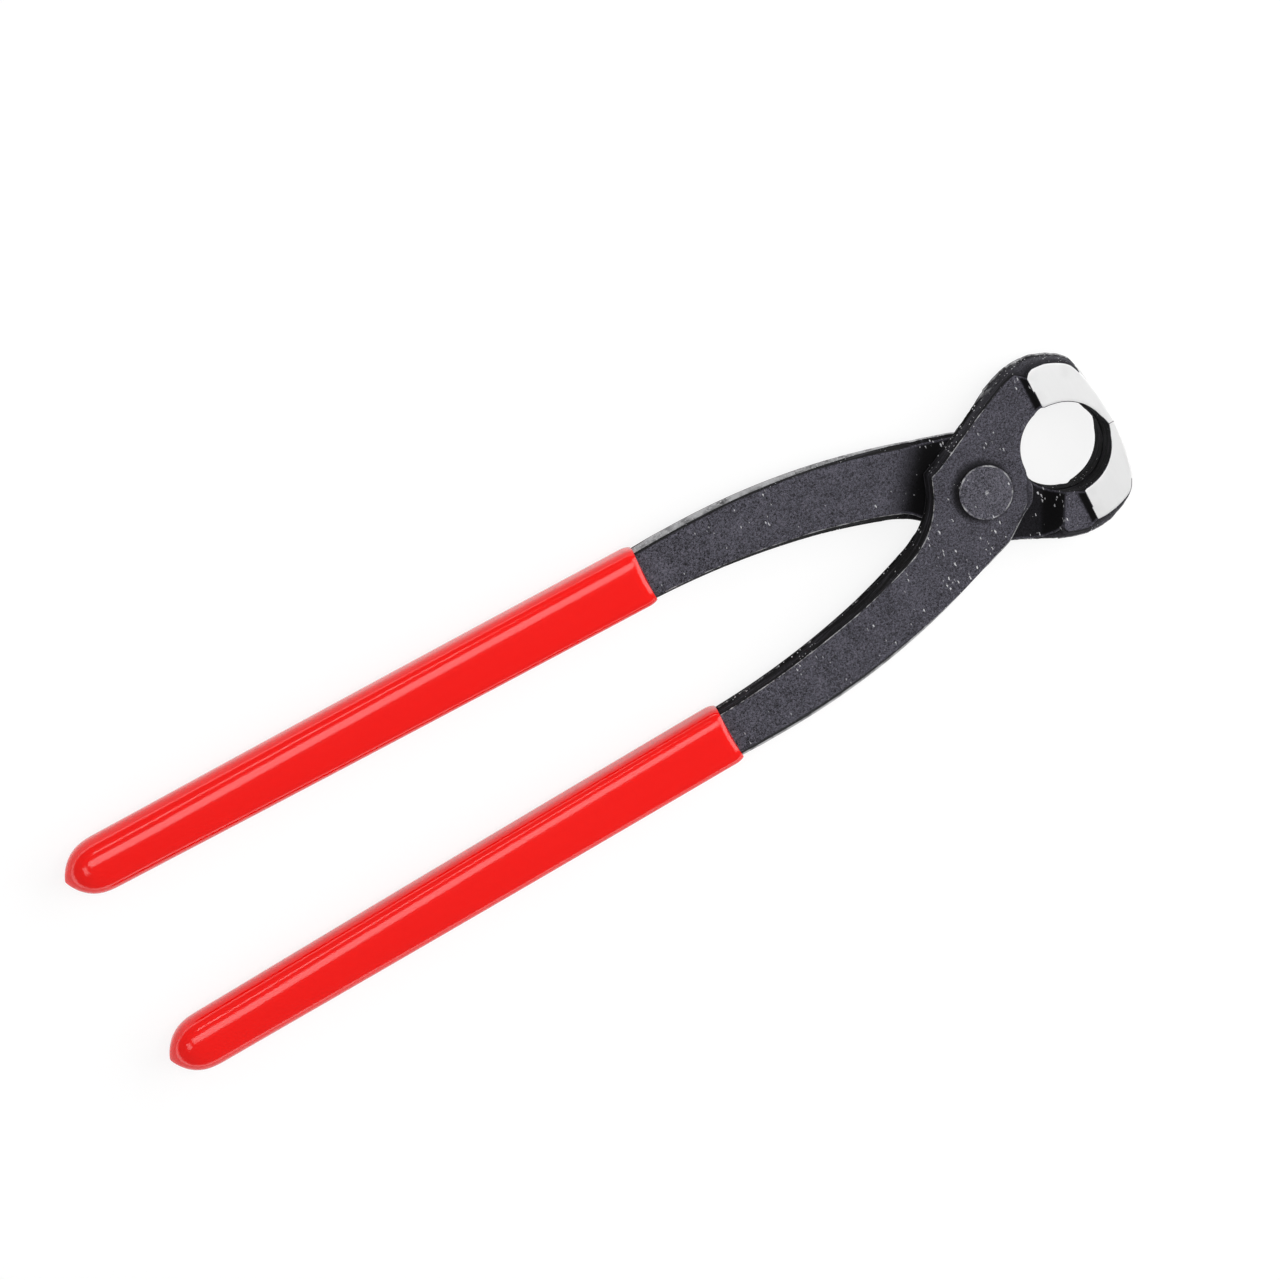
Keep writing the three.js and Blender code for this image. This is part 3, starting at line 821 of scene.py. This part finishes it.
def bright_chips(tree, place, off_axis, trimmed):
    """Short crosswise chips in some cells of a scattered pattern, more of them round the joint."""
    jitter = add(tree, "ShaderNodeTexNoise", {
        "Vector": place, "Scale": grain_scale(0.3), "Detail": 2}).outputs["Color"]
    moved = add(tree, "ShaderNodeVectorMath", {
        0: jitter, 1: (0.4 * millimetre,) * 3, 2: place}, operation="MULTIPLY_ADD").outputs[0]
    crosswise = add(tree, "ShaderNodeMapping", {
        "Vector": moved, "Rotation": (0, 0, chip_turn), "Scale": (1, chip_slenderness, 1)}).outputs[0]
    cell = add(tree, "ShaderNodeTexVoronoi", {"Vector": crosswise, "Scale": grain_scale(chip_size)}).outputs
    chance = add(tree, "ShaderNodeSeparateColor", {0: cell["Color"]}).outputs[0]
    crowd = add(tree, "ShaderNodeTexNoise", {
        "Vector": place, "Scale": grain_scale(7), "Detail": 2}).outputs["Fac"]
    chance = add(tree, "ShaderNodeMath", {0: crowd, 1: 1.3, 2: chance}, operation="MULTIPLY_ADD").outputs[0]
    near_joint = add(tree, "ShaderNodeMapRange", {
        "Value": off_axis, "From Min": 14 * millimetre, "From Max": 70 * millimetre,
        "To Min": 0.22, "To Max": 0.05}).outputs[0]
    chance = add(tree, "ShaderNodeMath", {0: chance, 1: near_joint}, operation="ADD").outputs[0]
    chance = add(tree, "ShaderNodeMath", {
        0: trimmed, 1: 0.55, 2: chance}, operation="MULTIPLY_ADD").outputs[0]
    blot = add(tree, "ShaderNodeMapRange", {
        "Value": chance, "From Min": 1.64, "From Max": 1.9, "To Min": 0, "To Max": 0.34}).outputs[0]
    blot = add(tree, "ShaderNodeMath", {0: blot, 1: cell["Distance"]}, operation="SUBTRACT").outputs[0]
    return add(tree, "ShaderNodeMapRange", {"Value": blot, "From Min": 0, "From Max": 0.1}).outputs[0]


def bare_steel(tree, place, worn, trimmed):
    """Broken lines on worn edges, and the sheared seam."""
    rub = add(tree, "ShaderNodeTexNoise", {
        "Vector": place, "Scale": grain_scale(2.6), "Detail": 5, "Roughness": 0.75}).outputs["Fac"]
    edge = add(tree, "ShaderNodeMath", {0: worn, 1: 0.42, 2: rub}, operation="MULTIPLY_ADD").outputs[0]
    edge = add(tree, "ShaderNodeMapRange", {
        "Value": edge, "From Min": 0.78, "From Max": 0.92, "To Min": 0, "To Max": 0.95}).outputs[0]
    sheared = add(tree, "ShaderNodeMath", {0: trimmed, 1: 0.6, 2: rub}, operation="MULTIPLY_ADD").outputs[0]
    sheared = add(tree, "ShaderNodeMapRange", {
        "Value": sheared, "From Min": 0.8, "From Max": 1.1, "To Min": 0, "To Max": 0.85}).outputs[0]
    return add(tree, "ShaderNodeMath", {0: edge, 1: sheared}, operation="MAXIMUM").outputs[0]


print("Cells of the chips:", chip_size, "by", round(chip_size / chip_slenderness, 2), "mm")

# %% Phosphated steel material
def phosphated_steel(name, turned=False):
    """The black finish of the forged levers or, with turned, of the rivet."""
    material = bpy.data.materials.new(name)
    material.use_nodes = True
    tree = material.node_tree
    tree.nodes.clear()
    place = add(tree, "ShaderNodeTexCoord").outputs["Object"]
    wall, worn, trimmed, drawn, along = [
        add(tree, "ShaderNodeAttribute", attribute_name=mark).outputs["Fac"]
        for mark in (*mark_names, "along")]
    off_axis = from_rivet(tree, place)
    grain = add(tree, "ShaderNodeTexNoise", {
        "Vector": place, "Scale": grain_scale(blasted_grain), "Detail": 3, "Roughness": 0.6,
        "Distortion": 1.2}).outputs["Fac"]

    # Face and walls, the walls darkened by painted shade, and a painted shadow in the corner round the
    # rivet's head
    face = blasted_face(tree, place, off_axis, grain, colour("#7e7c88" if turned else "#6e6c78"))
    darkness = forged_skin_and_painted_shade(tree, place, along, drawn)
    coat = add(tree, "ShaderNodeMix", {0: wall, 6: face, 7: darkness}, data_type="RGBA").outputs[2]
    rivet_shadow = add(tree, "ShaderNodeMapRange", {
        "Value": off_axis, "From Min": 5.3 * millimetre, "From Max": 6.9 * millimetre,
        "To Min": 0.0 if turned else 0.85, "To Max": 0}, interpolation_type="SMOOTHSTEP").outputs[0]
    coat = add(tree, "ShaderNodeMix", {0: rivet_shadow, 6: coat, 7: colour("#0e0d10")}, data_type="RGBA").outputs[2]

    # Chips in the coat and steel that shows through it
    chips = bright_chips(tree, place, off_axis, trimmed)
    coat = add(tree, "ShaderNodeMix", {0: chips, 6: coat, 7: colour("#d9d9dc")}, data_type="RGBA").outputs[2]
    bare = bare_steel(tree, place, worn, trimmed)
    surface = add(tree, "ShaderNodeMix", {
        0: bare, 6: coat, 7: colour("#c6c6c8")}, data_type="RGBA").outputs[2]
    metal = add(tree, "ShaderNodeMapRange", {"Value": wall, "To Min": 0.25, "To Max": 0.0}).outputs[0]
    metal = add(tree, "ShaderNodeMath", {0: metal, 1: bare}, operation="MAXIMUM").outputs[0]
    gloss = add(tree, "ShaderNodeMapRange", {"Value": grain, "To Min": 0.45, "To Max": 0.65}).outputs[0]
    gloss = add(tree, "ShaderNodeMath", {0: wall, 1: 0.5, 2: gloss}, operation="MULTIPLY_ADD").outputs[0]
    gloss = add(tree, "ShaderNodeMix", {0: bare, 2: gloss, 3: 0.38}).outputs[0]

    # Relief of the grain and, on the rivet, of the turning tool
    relief = grain
    if turned:
        turning = add(tree, "ShaderNodeTexWave", {
            "Vector": place, "Scale": grain_scale(2.2), "Distortion": 0.6, "Detail": 1},
            wave_type="RINGS", rings_direction="Z").outputs["Fac"]
        relief = add(tree, "ShaderNodeMath", {
            0: turning, 1: 0.25, 2: grain}, operation="MULTIPLY_ADD").outputs[0]
    bump = add(tree, "ShaderNodeBump", {
        "Height": relief, "Strength": 0.8, "Distance": 0.5 * millimetre}).outputs["Normal"]
    shader = add(tree, "ShaderNodeBsdfPrincipled", {
        "Base Color": surface, "Metallic": metal, "Roughness": gloss, "Normal": bump,
        "Specular IOR Level": 0.25})
    add(tree, "ShaderNodeOutputMaterial", {"Surface": shader.outputs[0]})
    return material


lever_steel = phosphated_steel("black phosphated forged steel")
print("Material:", lever_steel.name, "with", len(lever_steel.node_tree.nodes), "nodes")

# %% [markdown]
# ## Ground steel
# The noses of the jaws are ground after forging, on their faces and round their front walls. The wheel
# leaves fine scratches in one direction and a bare, light grey metal that reflects softly. A stretched
# noise gives the scratches, coarser than the real ones so that they show. An anisotropic shader would
# smear the reflections in the same way, but it would show no single scratch from close by.

# %% Ground steel material
def ground_steel(name):
    material = bpy.data.materials.new(name)
    material.use_nodes = True
    tree = material.node_tree
    tree.nodes.clear()
    place = add(tree, "ShaderNodeTexCoord").outputs["Object"]
    stretched = add(tree, "ShaderNodeMapping", {"Vector": place, "Scale": (1, 0.04, 1)}).outputs[0]
    scratch = add(tree, "ShaderNodeTexNoise", {
        "Vector": stretched, "Scale": grain_scale(0.25), "Detail": 2}).outputs["Fac"]
    stain = add(tree, "ShaderNodeTexNoise", {
        "Vector": place, "Scale": grain_scale(5), "Detail": 3}).outputs["Fac"]
    stain = add(tree, "ShaderNodeMapRange", {"Value": stain, "From Min": 0.55, "From Max": 0.8}).outputs[0]
    clean = add(tree, "ShaderNodeMix", {
        0: scratch, 6: colour("#dedede"), 7: colour("#e4e4e4")}, data_type="RGBA").outputs[2]
    surface = add(tree, "ShaderNodeMix", {
        0: stain, 6: clean, 7: colour("#d9d9d9")}, data_type="RGBA").outputs[2]
    gloss = add(tree, "ShaderNodeMapRange", {"Value": scratch, "To Min": 0.42, "To Max": 0.58}).outputs[0]
    bump = add(tree, "ShaderNodeBump", {
        "Height": scratch, "Strength": 0.2, "Distance": 0.01 * millimetre}).outputs["Normal"]
    shader = add(tree, "ShaderNodeBsdfPrincipled", {
        "Base Color": surface, "Metallic": 0.85, "Roughness": gloss, "Normal": bump})
    add(tree, "ShaderNodeOutputMaterial", {"Surface": shader.outputs[0]})
    return material


bright_steel = ground_steel("surface ground steel")
print("Material:", bright_steel.name)

# %% [markdown]
# ## The two levers
# The rings are joined by quads into one closed skin, and a Boolean modifier drills the rivet's bore
# through it. Both levers come from the same dies: the rear one is the front one turned half round about
# the tool's long axis, so its points are turned before the mesh is made and its object stays at the
# origin, as a CAD node's does.

# %% Closed skin
def loft_mesh(name, rings, turned_over):
    count, size, _ = rings.shape
    points = rings[:, :, :3].reshape(-1, 3).copy()
    if turned_over:
        points[:, 1:] *= -1
    points[:, 2] += middle_height
    quads = []
    for ring in range(count - 1):
        for point in range(size):
            here, after = ring * size + point, ring * size + (point + 1) % size
            quads.append((here, after, after + size, here + size))
    caps = [tuple(range(size)), tuple(range((count - 1) * size, count * size))]
    mesh = bpy.data.meshes.new(name)
    mesh.from_pydata((points * millimetre).tolist(), [], quads + caps)
    marks = dict(zip(mark_names, np.moveaxis(rings[:, :, 3:], 2, 0)))
    marks["along"] = np.repeat(run_along[:, None], size, axis=1) * millimetre
    for mark, values in marks.items():
        layer = mesh.attributes.new(mark, "FLOAT", "POINT")
        layer.data.foreach_set("value", values.ravel().astype(np.float32))
    work = bmesh.new()
    work.from_mesh(mesh)
    bmesh.ops.recalc_face_normals(work, faces=work.faces)
    work.to_mesh(mesh)
    work.free()
    return mesh


print("Skin of", (rings.shape[0] - 1) * rings.shape[1], "quads and two caps")

# %% Bore
bore_sides = 96


def bore_cutter():
    mesh = bpy.data.meshes.new("bore cutter")
    work = bmesh.new()
    bmesh.ops.create_cone(
        work, cap_ends=True, segments=bore_sides, depth=4 * jaw_half * millimetre,
        radius1=bore_radius * millimetre, radius2=bore_radius * millimetre,
        matrix=Matrix.Translation((0, 0, middle_height * millimetre)))
    work.to_mesh(mesh)
    work.free()
    cutter = bpy.data.objects.new("bore cutter", mesh)
    bpy.context.scene.collection.objects.link(cutter)
    return cutter


def plain_mesh(piece):
    """Turns a piece and its modifiers into one plain mesh."""
    view_layer = bpy.context.evaluated_depsgraph_get()
    mesh = bpy.data.meshes.new_from_object(piece.evaluated_get(view_layer))
    piece.modifiers.clear()
    piece.data = mesh
    mesh.name = piece.name
    return mesh


print("Bore", 2 * bore_radius, "mm wide with", bore_sides, "sides")

# %% Forged levers with ground noses
sharp_angle = math.radians(38)

# The front wall is ground back to this X, which the loft reaches after nose_run
ground_nose = 27.0
nose_run = run_along[np.argmax(outside_points[:, 0] < ground_nose)] * millimetre


def forged_lever(name, turned_over):
    lever = bpy.data.objects.new(name, loft_mesh(name, rings, turned_over))
    bpy.context.scene.collection.objects.link(lever)
    lever.data.materials.append(lever_steel)
    lever.data.materials.append(bright_steel)
    cutter = bore_cutter()
    drill = lever.modifiers.new("bore", "BOOLEAN")
    drill.operation = "DIFFERENCE"
    drill.solver = "EXACT"
    drill.object = cutter
    mesh = plain_mesh(lever)
    bpy.data.objects.remove(cutter)
    face_height = jaw_half * millimetre
    along = np.empty(len(mesh.vertices), np.float32)
    mesh.attributes["along"].data.foreach_get("value", along)
    for polygon in mesh.polygons:
        lift = abs(polygon.center.z - middle_height * millimetre)
        on_face = abs(lift - face_height) < 1e-6 and abs(polygon.normal.z) > 0.99
        on_nose = along[list(polygon.vertices)].mean() < nose_run and polygon.normal.x > 0.05
        polygon.material_index = int(on_face or on_nose)
    mesh.shade_smooth()
    mesh.set_sharp_from_angle(angle=sharp_angle)
    return lever


front_lever = forged_lever("forged_front_lever", False)
rear_lever = forged_lever("forged_rear_lever", True)
for lever in (front_lever, rear_lever):
    print(lever.name, len(lever.data.vertices), "points", len(lever.data.polygons), "faces")

# %% [markdown]
# ## Rivet
# The rivet is turned from bar, pushed through both levers and headed. Its heads are very low cones with a
# rounded rim. Cylinders could be stacked and bevelled for this, but anything that is round about an axis
# can be made from half of its outline: the Screw modifier turns a profile once about Z, as a lathe does.

# %% Profile of the rivet
rivet_head_radius = 5.4
rivet_shank_radius = 3.9
rivet_top = middle_height
rivet_seat = 5.1
rivet_edge = 0.3
rivet_crown = 0.22
cone_shares = (0.97, 0.8, 0.6, 0.4, 0.2, 0.07, 0)
cone_power = 1.25
rim_wear = 0.78
centre_highlight = 0.75
centre_highlight_radius = 0.5
rivet_steps = 96


def rivet_profile():
    """Distance from the axis and height, from the lower head's centre to the upper one's."""
    rim = rivet_head_radius - rivet_edge
    rim_height = rivet_top - rivet_crown - rivet_edge
    upper = [(rivet_shank_radius, rivet_seat), (rivet_head_radius, rivet_seat)]
    upper += [(rim + rivet_edge * math.cos(turn), rim_height + rivet_edge * math.sin(turn))
              for turn in np.radians([0, 18, 36, 54, 72, 90])]
    upper += [(rim * share, rivet_top - rivet_crown * share ** cone_power) for share in cone_shares]
    return [(out, -up) for out, up in reversed(upper)] + upper


profile = rivet_profile()
print("Rivet profile of", len(profile), "points")

# %% Turn the rivet
rivet_mesh = bpy.data.meshes.new("headed_rivet")
rivet_mesh.from_pydata(
    [(out * millimetre, 0, (up + middle_height) * millimetre) for out, up in profile],
    [(step, step + 1) for step in range(len(profile) - 1)], [])
rivet = bpy.data.objects.new("headed_rivet", rivet_mesh)
bpy.context.scene.collection.objects.link(rivet)
lathe = rivet.modifiers.new("lathe", "SCREW")
lathe.steps = rivet_steps
lathe.render_steps = rivet_steps
lathe.use_merge_vertices = True
lathe.merge_threshold = 0.00001
rivet_mesh = plain_mesh(rivet)
work = bmesh.new()
work.from_mesh(rivet_mesh)
bmesh.ops.remove_doubles(work, verts=work.verts, dist=0.000005)
bmesh.ops.recalc_face_normals(work, faces=work.faces)
work.to_mesh(rivet_mesh)
work.free()
print("Rivet", len(rivet_mesh.vertices), "points")

# %% Finish of the rivet
rim_mark = rivet_mesh.attributes.new("worn", "FLOAT", "POINT")
painted_side_shade = rivet_mesh.attributes.new("wall", "FLOAT", "POINT")
rim_height = rivet_top - rivet_crown - rivet_edge
for point, vertex in enumerate(rivet_mesh.vertices):
    up = abs(vertex.co.z / millimetre - middle_height)
    reach = math.hypot(vertex.co.x, vertex.co.y) / millimetre
    on_rim = up > rim_height + 0.1 and reach > rivet_head_radius - rivet_edge * 1.1
    # The rim is worn bare, and the bare spot on the lathe's centre mark is a painted highlight
    rim_mark.data[point].value = rim_wear * on_rim + centre_highlight * (reach < centre_highlight_radius)
    # The sides and undersides of the heads get the wall mark, so painted shade darkens them
    painted_side_shade.data[point].value = float(up < rim_height + 0.12)
rivet_mesh.materials.clear()
rivet_mesh.materials.append(phosphated_steel("black phosphated turned steel", turned=True))
rivet_mesh.shade_smooth()
rivet_mesh.set_sharp_from_angle(angle=sharp_angle)
print("Material:", rivet_mesh.materials[0].name)

# %% [markdown]
# ## Dipped vinyl
# The handles are warmed and dipped in liquid vinyl, which sets to a thick, glossy red skin. It has no
# mould marks at all: only slow waves where it ran, and a hard, clear gloss that mirrors the lamps. Some
# light goes into the vinyl and comes out again near by, so its red stays bright on the shaded sides. A
# clear coat over a matt red could give the gloss too, but real vinyl is one layer, and one layer does it.

# %% Vinyl material
def dipped_vinyl(name):
    material = bpy.data.materials.new(name)
    material.use_nodes = True
    tree = material.node_tree
    tree.nodes.clear()
    place = add(tree, "ShaderNodeTexCoord").outputs["Object"]
    waves = add(tree, "ShaderNodeTexNoise", {
        "Vector": place, "Scale": grain_scale(9), "Detail": 1}).outputs["Fac"]
    cloud = add(tree, "ShaderNodeTexNoise", {
        "Vector": place, "Scale": grain_scale(22), "Detail": 2}).outputs["Fac"]
    red = add(tree, "ShaderNodeMix", {
        0: cloud, 6: colour("#f50c07"), 7: colour("#fb120b")}, data_type="RGBA").outputs[2]
    gloss = add(tree, "ShaderNodeMapRange", {"Value": cloud, "To Min": 0.1, "To Max": 0.15}).outputs[0]
    bump = add(tree, "ShaderNodeBump", {
        "Height": waves, "Strength": 0.06, "Distance": 0.1 * millimetre}).outputs["Normal"]
    shader = add(tree, "ShaderNodeBsdfPrincipled", {
        "Base Color": red, "Roughness": gloss, "Normal": bump, "Specular IOR Level": 0.5,
        "Subsurface Weight": 0.4, "Subsurface Radius": (1.0, 0.2, 0.15), "Subsurface Scale": 2 * millimetre})
    add(tree, "ShaderNodeOutputMaterial", {"Surface": shader.outputs[0]})
    return material


vinyl = dipped_vinyl("glossy dipped vinyl")
print("Material:", vinyl.name)

# %% [markdown]
# ## Grips
# A dipped grip follows a rule: at the mouth it is boxy, because a thin skin lies on the flat tang, and
# towards the tip the vinyl gathers and the section grows rounder, until it closes in a blunt nose. That
# rule is a good use of Geometry Nodes. A tube is swept along a line, and one Set Position gives every
# point its place: a superellipse whose corners soften along the handle, a slow taper, a rolled lip at the
# mouth and a nose. A second tube by the same rule, thinner by the coat, is taken away for the tang.

# %% Sizes of a dipped grip
grip_sizes = {
    "Length": handle_length,
    "Mouth Half Width": 5.98,
    "Tip Half Width": 5.43,
    "Half Height": 4.6,
    "Mouth Squareness": 3.8,
    "Tip Squareness": 2.4,
    "Taper Power": 2.2,
    "Lip Length": 2.2,
    "Lip Depth": 0.42,
    "Mouth Droop": 0.6,
    "Nose Length": 9.5,
    "Nose Fullness": 3.0,
    "Tang Length": tang_length + 0.3,
    "Coat": 0.5}
unitless = ("Mouth Squareness", "Tip Squareness", "Taper Power", "Nose Fullness")
print("Grip", round(2 * grip_sizes["Mouth Half Width"], 2), "mm wide at its mouth")

# %% Tube of rings for a grip
rings_along = 240
points_round = 112
end_crowding = 0.86


def straight_tube(tree):
    """A straight tube of unit radius and unit length along X."""
    line = add(tree, "GeometryNodeCurvePrimitiveLine", {"Start": (0, 0, 0), "End": (1, 0, 0)}).outputs[0]
    line = add(tree, "GeometryNodeResampleCurve", {"Curve": line, "Count": rings_along}).outputs[0]
    circle = add(tree, "GeometryNodeCurvePrimitiveCircle", {
        "Resolution": points_round, "Radius": 1.0}).outputs[0]
    return add(tree, "GeometryNodeCurveToMesh", {
        "Curve": line, "Profile Curve": circle, "Fill Caps": True}).outputs[0]


def crowded_share(tree, here):
    """Share of the length at which a ring stands, with the rings close together at both ends."""
    wave = add(tree, "ShaderNodeMath", {0: here["X"], 1: 2 * math.pi}, operation="MULTIPLY").outputs[0]
    wave = add(tree, "ShaderNodeMath", {0: wave}, operation="SINE").outputs[0]
    return add(tree, "ShaderNodeMath", {
        0: wave, 1: -end_crowding / (2 * math.pi), 2: here["X"]}, operation="MULTIPLY_ADD").outputs[0]


print("Tube of", rings_along, "rings with", points_round, "points each")

# %% Nose, lip and droop of the vinyl
nose_power = 0.8
least_nose = 0.004
lip_power = 2.6
droop_length = 6.0


def closing_nose(tree, size, along):
    """Full until the nose starts, then closing in as a rounded point."""
    nose_start = add(tree, "ShaderNodeMath", {
        0: size["Length"], 1: size["Nose Length"]}, operation="SUBTRACT").outputs[0]
    nose = add(tree, "ShaderNodeMapRange", {
        "Value": along, "From Min": nose_start, "From Max": size["Length"]}).outputs[0]
    nose = add(tree, "ShaderNodeMath", {0: nose, 1: size["Nose Fullness"]}, operation="POWER").outputs[0]
    nose = add(tree, "ShaderNodeMath", {0: 1.0, 1: nose}, operation="SUBTRACT").outputs[0]
    nose = add(tree, "ShaderNodeMath", {0: nose, 1: nose_power}, operation="POWER").outputs[0]
    return add(tree, "ShaderNodeMath", {0: nose, 1: least_nose}, operation="MAXIMUM").outputs[0]


def rolled_lip(tree, size, along):
    """How much the skin thins towards its rounded edge at the mouth."""
    lip = add(tree, "ShaderNodeMapRange", {
        "Value": along, "From Max": size["Lip Length"], "To Min": 1.0, "To Max": 0.0}).outputs[0]
    lip = add(tree, "ShaderNodeMath", {0: lip, 1: lip_power}, operation="POWER").outputs[0]
    return add(tree, "ShaderNodeMath", {0: lip, 1: size["Lip Depth"]}, operation="MULTIPLY").outputs[0]


def drooping_mouth(tree, size, along, here):
    """How far the edge of the mouth hangs back on the flat faces, where the vinyl ran off."""
    droop = add(tree, "ShaderNodeMapRange", {
        "Value": along, "From Max": droop_length * millimetre, "To Min": size["Mouth Droop"],
        "To Max": 0.0}).outputs[0]
    droop = add(tree, "ShaderNodeMath", {0: droop, 1: here["Z"]}, operation="MULTIPLY").outputs[0]
    return add(tree, "ShaderNodeMath", {0: droop, 1: here["Z"]}, operation="MULTIPLY").outputs[0]


print("Mouth droops over", droop_length, "mm")

# %% Superellipse section
def superellipse_reach(tree, here, halves, square):
    """How far a point goes out along its own angle, for two half sizes and a squareness."""
    terms = []
    for side, half in zip((here["Y"], here["Z"]), halves):
        term = add(tree, "ShaderNodeMath", {0: side, 1: half}, operation="DIVIDE").outputs[0]
        term = add(tree, "ShaderNodeMath", {0: term}, operation="ABSOLUTE").outputs[0]
        terms.append(add(tree, "ShaderNodeMath", {0: term, 1: square}, operation="POWER").outputs[0])
    total = add(tree, "ShaderNodeMath", {0: terms[0], 1: terms[1]}, operation="ADD").outputs[0]
    root = add(tree, "ShaderNodeMath", {0: -1.0, 1: square}, operation="DIVIDE").outputs[0]
    return add(tree, "ShaderNodeMath", {0: total, 1: root}, operation="POWER").outputs[0]


print("Squareness from", grip_sizes["Mouth Squareness"], "to", grip_sizes["Tip Squareness"])

# %% Geometry Nodes tree for a dipped grip
softened_share = 0.85


def dipped_grip_tree():
    tree = bpy.data.node_groups.new("dipped grip", "GeometryNodeTree")
    face = tree.interface
    face.new_socket("Geometry", in_out="INPUT", socket_type="NodeSocketGeometry")
    for name in grip_sizes:
        face.new_socket(name, in_out="INPUT", socket_type="NodeSocketFloat")
    face.new_socket("Vinyl", in_out="INPUT", socket_type="NodeSocketMaterial")
    face.new_socket("Geometry", in_out="OUTPUT", socket_type="NodeSocketGeometry")
    size = add(tree, "NodeGroupInput").outputs
    tube = straight_tube(tree)
    here = add(tree, "ShaderNodeSeparateXYZ", {0: add(tree, "GeometryNodeInputPosition").outputs[0]}).outputs
    share = crowded_share(tree, here)
    along = add(tree, "ShaderNodeMath", {0: share, 1: size["Length"]}, operation="MULTIPLY").outputs[0]

    # Half width and squareness at this place
    taper = add(tree, "ShaderNodeMath", {0: share, 1: size["Taper Power"]}, operation="POWER").outputs[0]
    half_width = add(tree, "ShaderNodeMapRange", {
        "Value": taper, "To Min": size["Mouth Half Width"], "To Max": size["Tip Half Width"]}).outputs[0]
    square = add(tree, "ShaderNodeMapRange", {
        "Value": share, "From Max": softened_share, "To Min": size["Mouth Squareness"],
        "To Max": size["Tip Squareness"]}).outputs[0]

    def swept(start, length, thinner, shrink, hang):
        """The tube with every point in its place, once for the skin and once for the tang's room."""
        halves = []
        for plain in (half_width, size["Half Height"]):
            half = add(tree, "ShaderNodeMath", {0: plain, 1: thinner}, operation="SUBTRACT").outputs[0]
            halves.append(add(tree, "ShaderNodeMath", {0: half, 1: shrink}, operation="MULTIPLY").outputs[0])
        reach = superellipse_reach(tree, here, halves, square)
        out_y = add(tree, "ShaderNodeMath", {0: here["Y"], 1: reach}, operation="MULTIPLY").outputs[0]
        out_z = add(tree, "ShaderNodeMath", {0: here["Z"], 1: reach}, operation="MULTIPLY").outputs[0]
        out_x = add(tree, "ShaderNodeMapRange", {
            "Value": share, "To Min": start, "To Max": length}).outputs[0]
        out_x = add(tree, "ShaderNodeMath", {0: out_x, 1: hang}, operation="ADD").outputs[0]
        out_x = add(tree, "ShaderNodeMath", {0: out_x, 1: -1.0}, operation="MULTIPLY").outputs[0]
        place = add(tree, "ShaderNodeCombineXYZ", {0: out_x, 1: out_y, 2: out_z}).outputs[0]
        return add(tree, "GeometryNodeSetPosition", {"Geometry": tube, "Position": place}).outputs[0]

    nose, lip = closing_nose(tree, size, along), rolled_lip(tree, size, along)
    skin = swept(0.0, size["Length"], lip, nose, drooping_mouth(tree, size, along, here))
    room = swept(-millimetre, size["Tang Length"], size["Coat"], 1.0, 0.0)
    sleeve = add(tree, "GeometryNodeMeshBoolean", {
        "Mesh 1": skin, "Mesh 2": room}, operation="DIFFERENCE").outputs[0]
    sleeve = add(tree, "GeometryNodeSetShadeSmooth", {"Geometry": sleeve}).outputs[0]
    sleeve = add(tree, "GeometryNodeRealizeInstances", {"Geometry": sleeve}).outputs[0]
    sleeve = add(tree, "GeometryNodeSetMaterial", {"Geometry": sleeve, "Material": size["Vinyl"]}).outputs[0]
    add(tree, "NodeGroupOutput", {0: sleeve})
    return tree


grip_tree = dipped_grip_tree()
print("Grip tree with", len(grip_tree.nodes), "nodes")

# %% Two dipped grips
def dipped_grip(name, turned_over):
    grip = bpy.data.objects.new(name, bpy.data.meshes.new(name))
    bpy.context.scene.collection.objects.link(grip)
    nodes = grip.modifiers.new("dipped grip", "NODES")
    nodes.node_group = grip_tree
    for socket in grip_tree.interface.items_tree:
        if socket.name in grip_sizes:
            unit = 1 if socket.name in unitless else millimetre
            nodes[socket.identifier] = grip_sizes[socket.name] * unit
        elif socket.name == "Vinyl":
            nodes[socket.identifier] = vinyl
    mesh = plain_mesh(grip)
    place = Matrix.Translation((mouth[0] * millimetre, mouth[1] * millimetre, 0)) @ Matrix.Rotation(
        handle_bearing, 4, "Z")
    if turned_over:
        place = Matrix.Rotation(math.pi, 4, "X") @ place
    mesh.transform(Matrix.Translation((0, 0, middle_height * millimetre)) @ place)
    mesh.set_sharp_from_angle(angle=sharp_angle)
    return grip


front_grip = dipped_grip("dipped_front_grip", False)
rear_grip = dipped_grip("dipped_rear_grip", True)
print("Grip", len(front_grip.data.vertices), "points", len(front_grip.data.polygons), "faces")

# %% [markdown]
# ## Bodies
# Each piece now rides on the body it belongs to and takes the place of its CAD solid. The front half turns
# on the rivet, which stays with the rear half.

# %% Ride and replace
for piece, body, node, finish in (
        (front_lever, "front_half", "front_lever", "lever_steel"),
        (rear_lever, "rear_half", "rear_lever", "lever_steel"),
        (rivet, "rear_half", "pivot_rivet", "rivet_steel"),
        (front_grip, "front_half", "front_grip", "grip_vinyl"),
        (rear_grip, "rear_half", "rear_grip", "grip_vinyl")):
    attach(piece, body)
    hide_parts(node)
